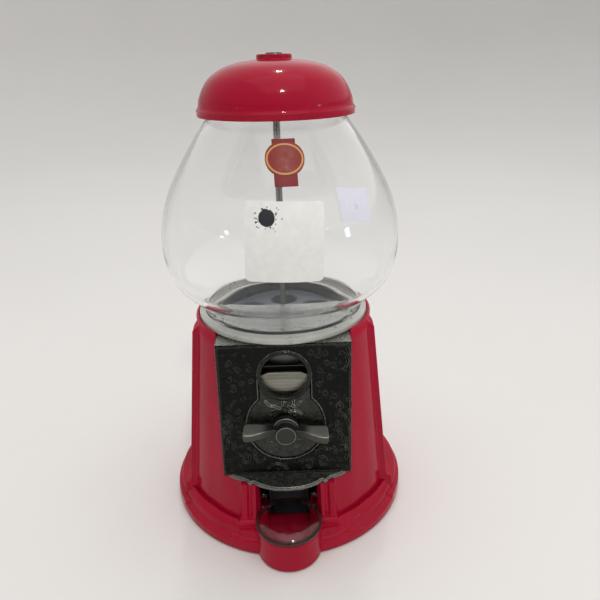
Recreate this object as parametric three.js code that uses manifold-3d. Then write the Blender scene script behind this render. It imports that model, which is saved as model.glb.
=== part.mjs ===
// A small countertop gumball machine: a cast red stand, a clear globe and a red lid on one tie rod.
// Millimetres, +Z up, the front faces -Y. Everything is drawn about the tie rod's axis, the floor at z = 0.
import * as THREE from "three";
import { mergeVertices } from "three/addons/utils/BufferGeometryUtils.js";
import Module from "manifold-3d";

const wasm = await Module();
wasm.setup();

// ---- driving dimensions ----
const TOTAL_HEIGHT = 279.4;
const GAP = 0.3; // running and assembly gap between neighbouring pieces
const WELD = 1e-4;
const ROUND = 28; // facets of the large turned pieces
const SMALL_ROUND = 14; // facets of pins, bores and screws

const FOOT_RADIUS = 77;
const FOOT_BOTTOM = 0.8;
const STAND_BOTTOM = 16;
const SHOULDER_HEIGHT = 124;
const SHOULDER_HALF = 55; // half-width of the stand across its pilasters, at the shoulder
const STAND_TAPER = 0.095; // growth of that half-width per mm downwards
const PLAN_HALF = 65.1; // half-width that the plan outline below is drawn at
const WALL = 2.6;

const GLOBE_SEAT = 128.8;
const RING_RADIUS = 52.2;
const RING_BOTTOM = 129.7;
const NECK_BORE = 46.6;
const GLOBE_SEAT_RADIUS = 52.8;
const PAN_SEAT_RADIUS = 47.2; // the step that the pan's flange drops into

const ROD_RADIUS = 2;
const PAN_RADIUS = 41.3;
const PAN_FLOOR = 112.8;
const PAN_RIM = 131.2;

const CUP_RADIUS = 19.3;
const CUP_Y = -69.5;
const CUP_RIM = 19.5;
const CUP_BORE = 16.8;
const CUP_FLOOR = 3;
const CHUTE_HALF = 17.5; // half-width of the gap between the front ribs
const HINGE_Y = -51.5;
const HINGE_Z = 23.5;

const PLATE_HALF = 38.4;
const PLATE_TOP = 129;
const PLATE_BOTTOM = 44.5;
const PLATE_TOP_Y = -50.6;
const PLATE_BOTTOM_Y = -55.9;
const PLATE_THICK = 2.2;
const BOX_BACK = -34;
const CANOPY_DROOP = 0.235; // fall of the lip under the faceplate, per mm forwards
const COIN_Z = 109.7;
const COIN_RADIUS = 13.3;
const COLLAR_RADIUS = 15.9; // outside of the raised collar round the coin opening
const KEYHOLE_RADIUS = 23.5; // round the handle
const KEYHOLE_NECK = 16; // half-width of the keyhole where it runs up to the coin opening

const CRANK_Z = 78.5;
const SHAFT_RADIUS = 3;
const HANDLE_TURN = THREE.MathUtils.degToRad(3.5); // the handle rests this far round, its right wing low
const IDLER_PIN_RADIUS = 2.2;
const SCREW_HOLE = 1.5;
const GEAR_MODULE = 1.2;
const PRESSURE = THREE.MathUtils.degToRad(25);
const BACKLASH = 0.15; // taken off each side of every tooth
const PINION_TEETH = 10;
const IDLER_TEETH = 25;
const WHEEL_TEETH = 60;
const PINION_PITCH = (GEAR_MODULE * PINION_TEETH) / 2;
const IDLER_PITCH = (GEAR_MODULE * IDLER_TEETH) / 2;
const WHEEL_PITCH = (GEAR_MODULE * WHEEL_TEETH) / 2;
const IDLER_Z = CRANK_Z + PINION_PITCH + IDLER_PITCH;
const FACE_GEAR_Z = IDLER_Z + IDLER_PITCH;
const GEAR_FRONT = -37.6;
const GEAR_BACK = -34.4;
const BACKPLATE_FRONT = -41.5;
const BACKPLATE_BACK = -40;
const COIN_WHEEL_RADIUS = 33.2;
const COIN_WHEEL_FLAT = 31.9;
const COIN_WHEEL_FRONT = -49.3;
const COIN_WHEEL_BACK = -47.3;

const POCKETS = 6;
const POCKET_RADIUS = 8.5;
const POCKET_PITCH = 24.5;
const WHEEL_RADIUS = 39;
const WHEEL_BOTTOM = 116;
const WHEEL_TOP = 126;
const POCKET_FACETS = 14;

const PAWL_X = -24;
const PAWL_Z = 107;

const DEEPEST_FRONT = -CUP_Y + CUP_RADIUS;
const CENTRING = (DEEPEST_FRONT - FOOT_RADIUS) / 2; // puts the overall box's middle on the origin

// ---- materials ----
function material(color, roughness, metalness, opacity = 1) {
  const look = new THREE.MeshStandardMaterial({ color, roughness, metalness });
  look.transparent = opacity < 1;
  look.opacity = opacity;
  return look;
}
const redPaint = material(0xaa0f23, 0.18, 0.1);
const pewter = material(0x2e312f, 0.35, 0.85);
const brushedSteel = material(0xa9a9a4, 0.35, 1);
const zincSteel = material(0xc4c5c2, 0.3, 1);
const clearPlastic = material(0xeef4f4, 0.05, 0, 0.3);
const darkPlastic = material(0x39434d, 0.5, 0);
const darkSteel = material(0x3c434a, 0.3, 0.9);
const greyPlastic = material(0xb9bdbc, 0.45, 0);
const whitePlastic = material(0xe6e4dc, 0.5, 0);
const whiteRubber = material(0xd8d6cf, 0.8, 0);
const blackRubber = material(0x1b1b1b, 0.9, 0);
const labelWhite = material(0xf6f6f3, 0.6, 0);
const labelGold = material(0xb4452c, 0.4, 0.3);

// ---- solids ----
function toSolid(geometry, matrix) {
  const bare = geometry.clone();
  if (matrix) bare.applyMatrix4(matrix);
  bare.deleteAttribute("normal");
  bare.deleteAttribute("uv");
  const welded = mergeVertices(bare, WELD);
  const corners = [];
  const index = welded.index.array;
  for (let i = 0; i < index.length; i += 3) {
    const [a, b, c] = [index[i], index[i + 1], index[i + 2]];
    if (a !== b && b !== c && c !== a) corners.push(a, b, c);
  }
  const build = (triVerts) => {
    const vertProperties = welded.attributes.position.array;
    return new wasm.Manifold(new wasm.Mesh({ numProp: 3, vertProperties, triVerts }));
  };
  const made = build(new Uint32Array(corners));
  return made.volume() < 0 ? build(new Uint32Array(corners.reverse())) : made;
}

function join(...solids) {
  return solids.reduce((sum, next) => sum.add(next));
}

function cut(solid, ...tools) {
  return tools.reduce((rest, tool) => rest.subtract(tool), solid);
}

function box(x0, x1, y0, y1, z0, z1, matrix) {
  const geometry = new THREE.BoxGeometry(x1 - x0, y1 - y0, z1 - z0);
  geometry.translate((x0 + x1) / 2, (y0 + y1) / 2, (z0 + z1) / 2);
  return toSolid(geometry, matrix);
}

function lathe(profile, segments = ROUND, matrix) {
  const geometry = new THREE.LatheGeometry(
    profile.map(([r, z]) => new THREE.Vector2(r, z)),
    segments,
  );
  geometry.rotateX(Math.PI / 2);
  return toSolid(geometry, matrix);
}

function disc(radius, z0, z1, x = 0, y = 0, segments = ROUND) {
  const profile = [[0, z0], [radius, z0], [radius, z1], [0, z1]];
  return lathe(profile, segments, new THREE.Matrix4().makeTranslation(x, y, 0));
}

function ring(inner, outer, z0, z1, segments = ROUND) {
  return lathe([[inner, z0], [outer, z0], [outer, z1], [inner, z1], [inner, z0]], segments);
}

// A turned piece about a line along Y: the profile is (radius, y).
function turnedY(profile, x, z, segments = SMALL_ROUND) {
  const upright = new THREE.Matrix4().makeRotationX(-Math.PI / 2);
  return lathe(profile, segments, new THREE.Matrix4().makeTranslation(x, 0, z).multiply(upright));
}

function rodY(radius, y0, y1, x, z, segments = SMALL_ROUND) {
  return turnedY([[0, y0], [radius, y0], [radius, y1], [0, y1]], x, z, segments);
}

function rodX(radius, x0, x1, y, z, segments = SMALL_ROUND) {
  const onSide = new THREE.Matrix4().makeRotationY(Math.PI / 2);
  const matrix = new THREE.Matrix4().makeTranslation(0, y, z).multiply(onSide);
  return lathe([[0, x0], [radius, x0], [radius, x1], [0, x1]], segments, matrix);
}

// Prisms of a drawn outline: upwards from (x, y), along Y from (x, z), and along X from (y, z).
function prism(outline, depth, matrix) {
  const shape = new THREE.Shape(outline.map(([a, b]) => new THREE.Vector2(a, b)));
  return toSolid(new THREE.ExtrudeGeometry(shape, { depth, bevelEnabled: false }), matrix);
}

function prismY(outline, y0, y1) {
  const turn = new THREE.Matrix4().makeRotationX(Math.PI / 2);
  return prism(outline, y1 - y0, new THREE.Matrix4().makeTranslation(0, y1, 0).multiply(turn));
}

function prismX(outline, x0, x1) {
  const turn = new THREE.Matrix4().makeBasis(
    new THREE.Vector3(0, 1, 0),
    new THREE.Vector3(0, 0, 1),
    new THREE.Vector3(1, 0, 0),
  );
  return prism(outline, x1 - x0, new THREE.Matrix4().makeTranslation(x0, 0, 0).multiply(turn));
}

// A closed skin over a stack of level rings with the same number of points.
function loft(rings) {
  const count = rings[0].length;
  const positions = rings.flat(2);
  const index = [];
  rings.slice(1).forEach((_, level) => {
    for (let i = 0; i < count; i++) {
      const a = level * count + i;
      const b = level * count + ((i + 1) % count);
      index.push(a, b, b + count, a, b + count, a + count);
    }
  });
  const last = (rings.length - 1) * count;
  const centre = positions.length / 3;
  positions.push(0, 0, rings[0][0][2], 0, 0, rings.at(-1)[0][2]);
  for (let i = 0; i < count; i++) {
    index.push(centre, (i + 1) % count, i);
    index.push(centre + 1, last + i, last + ((i + 1) % count));
  }
  const geometry = new THREE.BufferGeometry();
  geometry.setAttribute("position", new THREE.Float32BufferAttribute(positions, 3));
  geometry.setIndex(index);
  return toSolid(geometry);
}

const root = new THREE.Group();
root.position.y = CENTRING;

function place(name, solid, look) {
  const { numProp, vertProperties, triVerts } = solid.getMesh();
  const positions = new Float32Array((vertProperties.length / numProp) * 3);
  for (let i = 0; i < positions.length / 3; i++) {
    positions.set(vertProperties.subarray(i * numProp, i * numProp + 3), i * 3);
  }
  const geometry = new THREE.BufferGeometry();
  geometry.setAttribute("position", new THREE.BufferAttribute(positions, 3));
  geometry.setIndex(new THREE.BufferAttribute(triVerts, 1));
  geometry.computeVertexNormals();
  const mesh = new THREE.Mesh(geometry, look);
  mesh.name = name;
  root.add(mesh);
}

// ---- the stand ----
// One eighth of the stand's plan: half a pilaster with its two ribs, then half a corner panel.
const PILASTER = [[63.9, 0], [63.9, 16.6], [65.1, 17.5], [65.1, 22], [63.9, 22.8], [63.9, 24.4],
  [64.9, 25.2], [64.9, 28.6], [60.8, 29.4]];
const CORNER_PANEL = [[59.6, 31.2], [56.4, 36.3], [52.3, 41.6], [47, 47]];

function planOutline(eighth) {
  const half = [...eighth, ...eighth.slice(1, -1).map(([u, v]) => [v, u]).reverse()];
  const outline = [];
  for (let quarter = 0; quarter < 4; quarter++) {
    const turn = (quarter * Math.PI) / 2;
    half.forEach(([u, v]) => {
      outline.push([u * Math.cos(turn) - v * Math.sin(turn), u * Math.sin(turn) + v * Math.cos(turn)]);
    });
  }
  return outline;
}

function standHalf(z) {
  return SHOULDER_HALF + STAND_TAPER * (SHOULDER_HEIGHT - z);
}

function scaled(outline, scale, z) {
  return outline.map(([x, y]) => [x * scale, y * scale, z]);
}

function rounded(outline, radius, z) {
  return outline.map(([x, y]) => {
    const length = Math.hypot(x, y);
    return [(x * radius) / length, (y * radius) / length, z];
  });
}

function standOutside() {
  const plan = planOutline([...PILASTER, ...CORNER_PANEL]);
  const top = SHOULDER_HALF / PLAN_HALF;
  return loft([
    scaled(plan, standHalf(STAND_BOTTOM) / PLAN_HALF, STAND_BOTTOM),
    scaled(plan, top, SHOULDER_HEIGHT),
    scaled(plan, top * 0.992, SHOULDER_HEIGHT + 3),
    rounded(plan, SHOULDER_HALF - 0.2, SHOULDER_HEIGHT + 5.6),
    rounded(plan, SHOULDER_HALF - 1.2, SHOULDER_HEIGHT + 7),
  ]);
}

function standInside() {
  const inner = planOutline([[61.2, 0], [61.2, 26.4], [57, 30.6], [44.6, 44.6]]);
  const bottom = STAND_BOTTOM + 0.6;
  return loft([
    scaled(inner, standHalf(bottom) / PLAN_HALF, bottom),
    scaled(inner, SHOULDER_HALF / PLAN_HALF - 0.01, SHOULDER_HEIGHT),
  ]);
}

function footTiers() {
  const tiers = lathe([[0, FOOT_BOTTOM], [76.4, FOOT_BOTTOM], [FOOT_RADIUS, 1.6], [FOOT_RADIUS, 6.2],
    [76.2, 7.7], [73.8, 8.7], [73.4, 11.4], [71.8, 14], [66.8, 17.8], [65.2, 18.4], [0, 18.4]], 36);
  const steps = [];
  for (let side = 0; side < 4; side++) {
    const turn = new THREE.Matrix4().makeRotationZ((side * Math.PI) / 2);
    const step = (half, reach, top) => box(-half, half, -reach, -40, FOOT_BOTTOM + 1, top, turn);
    steps.push(step(29.8, 67.6, 19.8));
    steps.push(step(29.8, 72.9, 14.9).intersect(disc(74.6, 0, 20)));
    steps.push(step(36, 78, 9.4).intersect(disc(76.5, 0, 20, 0, 0, 36)));
  }
  return join(tiers, ...steps);
}

function footHollow() {
  return lathe([[0, 0], [73.6, 0], [73.6, 6.2], [66, 6.2], [66, 12.4], [60, 16.9], [0, 16.9]]);
}

function cupBlock() {
  const cup = disc(CUP_RADIUS, FOOT_BOTTOM, CUP_RIM, 0, CUP_Y, 28);
  const channel = box(-20.4, 20.4, -64, -48.5, FOOT_BOTTOM, CUP_RIM);
  const channelFloor = box(-14.5, 14.5, -50, -42.3, FOOT_BOTTOM, CUP_FLOOR);
  const cheeks = [-1, 1].map((side) => {
    const [near, far] = [side * CHUTE_HALF, side * 20.4].sort((a, b) => a - b);
    return box(near, far, -62, -48.5, CUP_RIM - 1, PLATE_BOTTOM - 1);
  });
  return join(cup, channel, channelFloor, ...cheeks);
}

function chuteCuts() {
  const pocket = disc(CUP_BORE, CUP_FLOOR, 60, 0, CUP_Y, 28).intersect(box(-30, 30, -95, -40, 0, CUP_RIM + 1));
  return [
    pocket,
    box(-13.2, 13.2, CUP_Y, -45, CUP_FLOOR, CUP_RIM + 1),
    box(-CHUTE_HALF, CHUTE_HALF, -95, -45, CUP_RIM, PLATE_BOTTOM + 0.3),
    disc(20.4, CUP_RIM, PLATE_BOTTOM, 0, CUP_Y, 28),
    rodX(1.5, -19.9, 19.9, HINGE_Y, HINGE_Z),
  ];
}

function baseBody() {
  const shell = cut(join(standOutside(), footTiers()), standInside(), footHollow());
  const recess = box(-PLATE_HALF - 0.4, PLATE_HALF + 0.4, -90, BOX_BACK + 0.4, PLATE_BOTTOM - 0.2, 200);
  const underCanopy = prismX([[-52, 44.2], [-90, 44.2 - 38 * CANOPY_DROOP], [-90, 60], [-52, 60]], -36.2, 36.2);
  const seat = disc(GLOBE_SEAT_RADIUS, GLOBE_SEAT, 200);
  const panSeat = disc(PAN_SEAT_RADIUS, 126.9, 200);
  const panHole = disc(42, 100, 200);
  return cut(join(shell, cupBlock()), ...chuteCuts(), recess, underCanopy, seat, panSeat, panHole);
}

function bottomCover() {
  const plate = disc(72.6, 4.7, 5.9);
  return cut(plate, box(-21.2, 21.2, -80, -32.5, 0, 10), disc(ROD_RADIUS + GAP, 0, 10, 0, 0, SMALL_ROUND));
}

function footPad(angle) {
  const x = 61 * Math.cos(angle);
  const y = 61 * Math.sin(angle);
  const matrix = new THREE.Matrix4().makeTranslation(x, y, 0);
  return lathe([[0, 0], [4.6, 0], [5.4, 1], [5.4, 4.4], [0, 4.4]], SMALL_ROUND, matrix);
}

// ---- the throat under the globe ----
function hopperPan() {
  const bowl = lathe([[0, 111], [PAN_RADIUS, 111], [PAN_RADIUS, 127.2], [46.8, 127.2], [46.8, 128.8],
    [PAN_RADIUS, 128.8], [PAN_RADIUS, PAN_RIM], [39.8, PAN_RIM], [39.8, PAN_FLOOR], [0, PAN_FLOOR]]);
  const gearSlot = box(-12.2, 12.2, -38.3, -33.7, 105, PAN_FLOOR + 1);
  const drop = disc(9.2, 105, PAN_FLOOR + 1, 0, -POCKET_PITCH, 32);
  return cut(bowl, gearSlot, drop, disc(ROD_RADIUS + GAP, 100, 130, 0, 0, SMALL_ROUND));
}

// A plate over the front half of the pan, held by a tab at each side on the pan's rim.
function gumBaffle() {
  const bottom = PAN_RIM + GAP;
  const top = bottom + 1.5;
  const half = disc(38.4, bottom, top).intersect(box(-35.5, 35.5, -50, -2.6, bottom, top));
  const tabs = box(-41, 41, -12, -7, bottom, top).intersect(disc(PAN_RADIUS - 0.1, bottom, top));
  return join(half, tabs);
}

function globeGasket() {
  return ring(43.5, 51.4, 128.95, 129.5);
}

function gumChute() {
  const outside = prismX([[-12.5, 109.5], [-33, 109.5], [-33, 62], [-44, 36], [-45.5, 19.2], [-44, 3.3],
    [-41.7, 3.5], [-35, 6.5], [-12.5, 49.5]], -12.5, 12.5);
  const inside = prismX([[-14.2, 112], [-60, 112], [-60, 4.9], [-42.2, 5.1], [-36, 8.6], [-14.2, 50.3]],
    -11, 11);
  return cut(outside, inside);
}

// ---- the coin mechanism's casting ----
// The faceplate's own frame: its front surface, with z running up the leaning plate.
function plateFrame() {
  const lean = Math.atan2(PLATE_TOP_Y - PLATE_BOTTOM_Y, PLATE_TOP - PLATE_BOTTOM);
  const turn = new THREE.Matrix4().makeRotationX(-lean);
  return new THREE.Matrix4().makeTranslation(0, PLATE_TOP_Y, PLATE_TOP).multiply(turn);
}

function plateY(z) {
  return PLATE_TOP_Y + ((PLATE_BOTTOM_Y - PLATE_TOP_Y) * (PLATE_TOP - z)) / (PLATE_TOP - PLATE_BOTTOM);
}

function arc(radius, centreZ, from, to, steps) {
  return Array.from({ length: steps + 1 }, (_, i) => {
    const angle = THREE.MathUtils.degToRad(from + ((to - from) * i) / steps);
    return [radius * Math.cos(angle), centreZ + radius * Math.sin(angle)];
  });
}

// The keyhole outline round the handle and the coin opening, inset by a border.
function keyhole(inset) {
  const low = CRANK_Z - PLATE_TOP;
  const high = COIN_Z - PLATE_TOP;
  const meet = THREE.MathUtils.radToDeg(Math.acos((KEYHOLE_NECK - inset) / (KEYHOLE_RADIUS - inset)));
  return [
    ...arc(KEYHOLE_RADIUS - inset, low, 180 - meet, 360 + meet, 20),
    ...arc(KEYHOLE_NECK - inset, high, 0, 180, 12),
  ];
}

function raisedOutline(outline, back, front) {
  const matrix = plateFrame().multiply(new THREE.Matrix4().makeTranslation(0, -back, 0));
  const turn = new THREE.Matrix4().makeRotationX(Math.PI / 2);
  return prism(outline, front - back, matrix.multiply(turn));
}

function canopy() {
  const half = [[35.4, -53], [35.2, -56], [32, -58.4], [28, -60.4], [24.6, -61.7], [23.6, -63.6], [21.3, -64.3],
    [20.4, -63], [18.5, -64.9], [14, -67.3], [8, -69.3]];
  const outline = [...half, [0, -70], ...half.map(([x, y]) => [-x, y]).reverse()];
  const rise = 43.6 + 56 * CANOPY_DROOP;
  const shear = new THREE.Matrix4().set(1, 0, 0, 0, 0, 1, 0, 0, 0, CANOPY_DROOP, 1, rise, 0, 0, 0, 1);
  return prism(outline, 1.8, shear);
}

const POSTS = [[-32.4, 57.5], [32.4, 57.5], [-33, 106.4], [33, 106.4]];

function mechFaceplate() {
  const plate = prismX([[PLATE_TOP_Y, PLATE_TOP], [PLATE_BOTTOM_Y, PLATE_BOTTOM],
    [PLATE_BOTTOM_Y + PLATE_THICK, PLATE_BOTTOM], [PLATE_TOP_Y + PLATE_THICK, PLATE_TOP]],
  -PLATE_HALF, PLATE_HALF);
  const sideOutline = [[PLATE_TOP_Y + 1, PLATE_TOP], [PLATE_BOTTOM_Y + 1, PLATE_BOTTOM],
    [-42, PLATE_BOTTOM], [BOX_BACK, PLATE_BOTTOM + 12], [BOX_BACK, PLATE_TOP]];
  const sides = [prismX(sideOutline, -PLATE_HALF, -36.6), prismX(sideOutline, 36.6, PLATE_HALF)];
  const ledge = box(-PLATE_HALF, PLATE_HALF, PLATE_TOP_Y + 1, BOX_BACK, 127, PLATE_TOP);
  const posts = POSTS.map(([x, z]) => rodY(2.8, plateY(z) + 1, BACKPLATE_FRONT - GAP, x, z));
  const boss = rodY(6, plateY(CRANK_Z) + 1, COIN_WHEEL_FRONT - GAP, 0, CRANK_Z);
  const field = raisedOutline(keyhole(1), -0.5, 0.45);
  const bead = cut(raisedOutline(keyhole(0), -0.5, 1), raisedOutline(keyhole(1.3), -1, 2));
  const collar = raisedOutline(arc(COLLAR_RADIUS, COIN_Z - PLATE_TOP, 0, 345, 23), -0.5, 1.7);
  const coinHole = raisedOutline(arc(COIN_RADIUS, COIN_Z - PLATE_TOP, 0, 345, 23), -6, 4);
  const solid = join(plate, ...sides, ledge, ...posts, boss, field, bead, collar, canopy());
  const screwHoles = POSTS.map(([x, z]) => rodY(SCREW_HOLE, -50, -30, x, z));
  const shaftHole = rodY(SHAFT_RADIUS + GAP, -70, -30, 0, CRANK_Z, 24);
  return cut(solid, coinHole, shaftHole, ...screwHoles, disc(PAN_SEAT_RADIUS, 126, 130),
    disc(52.6, PLATE_TOP - 0.1, 140));
}

function mechBackplate() {
  const plate = box(-36.2, 36.2, BACKPLATE_FRONT, BACKPLATE_BACK, 52, 110.6);
  const idlerBoss = rodY(4, BACKPLATE_BACK - 0.5, GEAR_FRONT - GAP, 0, IDLER_Z);
  const coinDrop = box(-9, 9, -60, -30, 40, 60);
  const screwHoles = POSTS.map(([x, z]) => rodY(SCREW_HOLE, -50, -30, x, z));
  const shaftHole = rodY(SHAFT_RADIUS + GAP, -70, -30, 0, CRANK_Z, 24);
  const pinHole = rodY(IDLER_PIN_RADIUS + GAP, -70, -30, 0, IDLER_Z);
  return cut(join(plate, idlerBoss), coinDrop, shaftHole, pinHole, rodY(SCREW_HOLE, -70, -30, PAWL_X, PAWL_Z),
    ...screwHoles);
}

function mechScrew([x, z]) {
  const head = rodY(2.6, BACKPLATE_BACK + 0.1, BACKPLATE_BACK + 1.7, x, z);
  const shank = rodY(1.2, -47, BACKPLATE_BACK + 0.5, x, z);
  const slot = box(x - 3, x + 3, BACKPLATE_BACK + 1, BACKPLATE_BACK + 3, z - 0.35, z + 0.35);
  return cut(join(head, shank), slot);
}

// ---- gears ----
function involute(angle) {
  return Math.tan(angle) - angle;
}

// A spur gear's outline with its first tooth straight up.
function gearOutline(teeth) {
  const pitch = (GEAR_MODULE * teeth) / 2;
  const base = pitch * Math.cos(PRESSURE);
  const tip = pitch + GEAR_MODULE * 0.92;
  const foot = pitch - GEAR_MODULE * 1.2;
  const halfAt = (r) => {
    const reach = Math.max(r, base);
    return Math.PI / (2 * teeth) - BACKLASH / pitch + involute(PRESSURE) - involute(Math.acos(base / reach));
  };
  const radii = base > foot + 0.1 ? [foot, base, pitch, tip] : [foot, pitch, tip];
  const outline = [];
  for (let tooth = 0; tooth < teeth; tooth++) {
    const centre = Math.PI / 2 - (2 * Math.PI * tooth) / teeth;
    radii.forEach((r) => outline.push([r * Math.cos(centre + halfAt(r)), r * Math.sin(centre + halfAt(r))]));
    [...radii].reverse().forEach((r) => {
      outline.push([r * Math.cos(centre - halfAt(r)), r * Math.sin(centre - halfAt(r))]);
    });
  }
  return outline;
}

function spurGear(teeth, z, y0, y1, bore) {
  const outline = gearOutline(teeth).map(([x, up]) => [x, up + z]);
  return cut(prismY(outline, y0, y1), rodY(bore, y0 - 1, y1 + 1, 0, z));
}

// One crown tooth under the dispensing wheel, tapering towards the rod as the others do.
function crownTooth(number) {
  const angle = ((number + 0.5) * 2 * Math.PI) / WHEEL_TEETH;
  const halfAt = (z) => {
    const flat = (Math.PI * GEAR_MODULE) / 4 - BACKLASH + (z - FACE_GEAR_Z) * Math.tan(PRESSURE);
    return flat / WHEEL_PITCH;
  };
  const levels = [FACE_GEAR_Z - 1.05, WHEEL_BOTTOM + 0.4];
  const corners = [];
  levels.forEach((z) => {
    const half = Math.min(halfAt(z), 0.0495);
    [[34, -half], [38, -half], [38, half], [34, half]].forEach(([r, offset]) => {
      const at = -Math.PI / 2 + angle + offset;
      corners.push(r * Math.cos(at), r * Math.sin(at), z);
    });
  });
  const geometry = new THREE.BufferGeometry();
  geometry.setAttribute("position", new THREE.Float32BufferAttribute(corners, 3));
  geometry.setIndex([0, 2, 1, 0, 3, 2, 4, 5, 6, 4, 6, 7, 0, 1, 5, 0, 5, 4, 1, 2, 6, 1, 6, 5, 2, 3, 7, 2, 7, 6,
    3, 0, 4, 3, 4, 7]);
  return toSolid(geometry);
}

function dispensingWheel() {
  const blank = lathe([[0, 113.1], [7, 113.1], [7, WHEEL_BOTTOM], [WHEEL_RADIUS, WHEEL_BOTTOM],
    [WHEEL_RADIUS, WHEEL_TOP - 1.2], [WHEEL_RADIUS - 1.2, WHEEL_TOP], [12, WHEEL_TOP], [7, 128.6], [0, 129.2]]);
  const teeth = Array.from({ length: WHEEL_TEETH }, (_, i) => crownTooth(i));
  const pockets = Array.from({ length: POCKETS }, (_, i) => {
    const angle = -Math.PI / 2 + (i * 2 * Math.PI) / POCKETS;
    const [x, y] = [POCKET_PITCH * Math.cos(angle), POCKET_PITCH * Math.sin(angle)];
    return disc(POCKET_RADIUS, 100, 140, x, y, POCKET_FACETS);
  });
  return cut(join(blank, ...teeth), ...pockets, disc(ROD_RADIUS + GAP, 100, 140, 0, 0, SMALL_ROUND));
}

// ---- the crank ----
function crankHandle() {
  const hub = turnedY([[0, -66.1], [5.2, -66.1], [5.7, -65.6], [5.7, -60], [7.5, -59.6], [7.5, -55.6],
    [7, -55.2], [0, -55.2]], 0, CRANK_Z, 32);
  const wing = [[3, -63.4], [6, -63.4], [10.5, -64.2], [14.5, -66.4], [19, -69], [22.5, -69.4], [24, -68.2],
    [24.2, -59], [23.6, -57.8], [12, -57.8], [3, -58.2]];
  const ontoShaft = new THREE.Matrix4().makeTranslation(0, 0, CRANK_Z);
  const turned = ontoShaft.multiply(new THREE.Matrix4().makeRotationY(HANDLE_TURN));
  const wings = [1, -1].map((side) => {
    const outline = wing.map(([x, y]) => [side * x, y]);
    return prism(outline, 4.4, turned.clone().multiply(new THREE.Matrix4().makeTranslation(0, 0, -2.3)));
  });
  return cut(join(hub, ...wings), rodY(SHAFT_RADIUS + GAP, -62, -50, 0, CRANK_Z, 24));
}

function coinWheel() {
  const plate = turnedY([[0, COIN_WHEEL_FRONT], [COIN_WHEEL_RADIUS, COIN_WHEEL_FRONT],
    [COIN_WHEEL_RADIUS, COIN_WHEEL_BACK], [6, COIN_WHEEL_BACK], [6, BACKPLATE_FRONT - GAP],
    [0, BACKPLATE_FRONT - GAP]], 0, CRANK_Z, ROUND);
  const flat = box(-30, 30, -60, -30, CRANK_Z + COIN_WHEEL_FLAT, CRANK_Z + 60);
  return cut(plate, flat, rodY(SHAFT_RADIUS + GAP, -60, -30, 0, CRANK_Z, 24));
}

function coinPawl() {
  const hub = rodY(2.8, COIN_WHEEL_FRONT + 0.1, COIN_WHEEL_BACK, PAWL_X, PAWL_Z);
  const armOutline = [[PAWL_X - 1.9, PAWL_Z], [PAWL_X + 2.4, PAWL_Z - 1.7],
    [-26.9, 99.2], [-28.9, 97.6], [-31.2, 98.6]];
  const arm = prismY(armOutline, COIN_WHEEL_FRONT + 0.1, COIN_WHEEL_BACK);
  return cut(join(hub, arm), rodY(1.4, -60, -30, PAWL_X, PAWL_Z));
}

// ---- the globe and what is stuck on it ----
const GLOBE_OUTSIDE = [[RING_RADIUS, RING_BOTTOM], [RING_RADIUS, 132.6], [49, 134.2], [48.6, 136], [50.6, 139.5],
  [55.6, 145], [61.6, 150.4], [66, 156.4], [69.2, 166], [70.2, 177], [69.1, 190], [64.9, 204], [57.2, 219.5],
  [47.2, 235.4], [40.2, 245], [38.8, 248], [38.8, 250.4]];
const GLOBE_INSIDE = [[36.6, 250.4], [36.7, 247.4], [38.4, 243.4], [45.3, 234], [55.1, 218.6], [62.7, 203.4],
  [66.9, 189.6], [68, 177], [67, 166.6], [64.2, 157.6], [60, 151.8], [54, 146.5], [48.9, 140.6],
  [NECK_BORE, 136.2], [NECK_BORE, RING_BOTTOM]];

function globe() {
  return lathe([...GLOBE_OUTSIDE, ...GLOBE_INSIDE, GLOBE_OUTSIDE[0]]);
}

function globeRadius(z) {
  const upper = GLOBE_OUTSIDE.findIndex(([, height], i) => i > 4 && height >= z);
  const [r1, z1] = GLOBE_OUTSIDE[upper];
  const [r0, z0] = GLOBE_OUTSIDE[upper - 1];
  return r0 + ((r1 - r0) * (z - z0)) / (z1 - z0);
}

// A thin sticker that follows the globe: halfWidth(v) is its outline at height v above its middle.
function sticker(centreX, centreZ, halfHeight, halfWidth) {
  const rows = 8;
  const columns = 6;
  const standOff = 0.5;
  const thick = 0.35;
  const positions = [];
  const middle = Math.asin(centreX / globeRadius(centreZ));
  [standOff, standOff + thick].forEach((lift) => {
    for (let row = 0; row <= rows; row++) {
      const v = halfHeight * Math.sin((Math.PI / 2) * ((2 * row) / rows - 1));
      const z = centreZ + v;
      const radius = globeRadius(z);
      for (let column = 0; column <= columns; column++) {
        const angle = middle + (halfWidth(v) * ((2 * column) / columns - 1)) / radius;
        positions.push((radius + lift) * Math.sin(angle), -(radius + lift) * Math.cos(angle), z);
      }
    }
  });
  const layer = (rows + 1) * (columns + 1);
  const at = (side, row, column) => side * layer + row * (columns + 1) + column;
  const index = [];
  const quad = (a, b, c, d) => index.push(a, b, c, a, c, d);
  for (let r = 0; r < rows; r++) {
    for (let c = 0; c < columns; c++) {
      quad(at(0, r, c), at(0, r + 1, c), at(0, r + 1, c + 1), at(0, r, c + 1));
      quad(at(1, r, c), at(1, r, c + 1), at(1, r + 1, c + 1), at(1, r + 1, c));
    }
    quad(at(0, r, 0), at(1, r, 0), at(1, r + 1, 0), at(0, r + 1, 0));
    quad(at(0, r, columns), at(0, r + 1, columns), at(1, r + 1, columns), at(1, r, columns));
  }
  for (let c = 0; c < columns; c++) {
    quad(at(0, 0, c), at(0, 0, c + 1), at(1, 0, c + 1), at(1, 0, c));
    quad(at(0, rows, c), at(1, rows, c), at(1, rows, c + 1), at(0, rows, c + 1));
  }
  const geometry = new THREE.BufferGeometry();
  geometry.setAttribute("position", new THREE.Float32BufferAttribute(positions, 3));
  geometry.setIndex(index);
  return toSolid(geometry);
}

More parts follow.
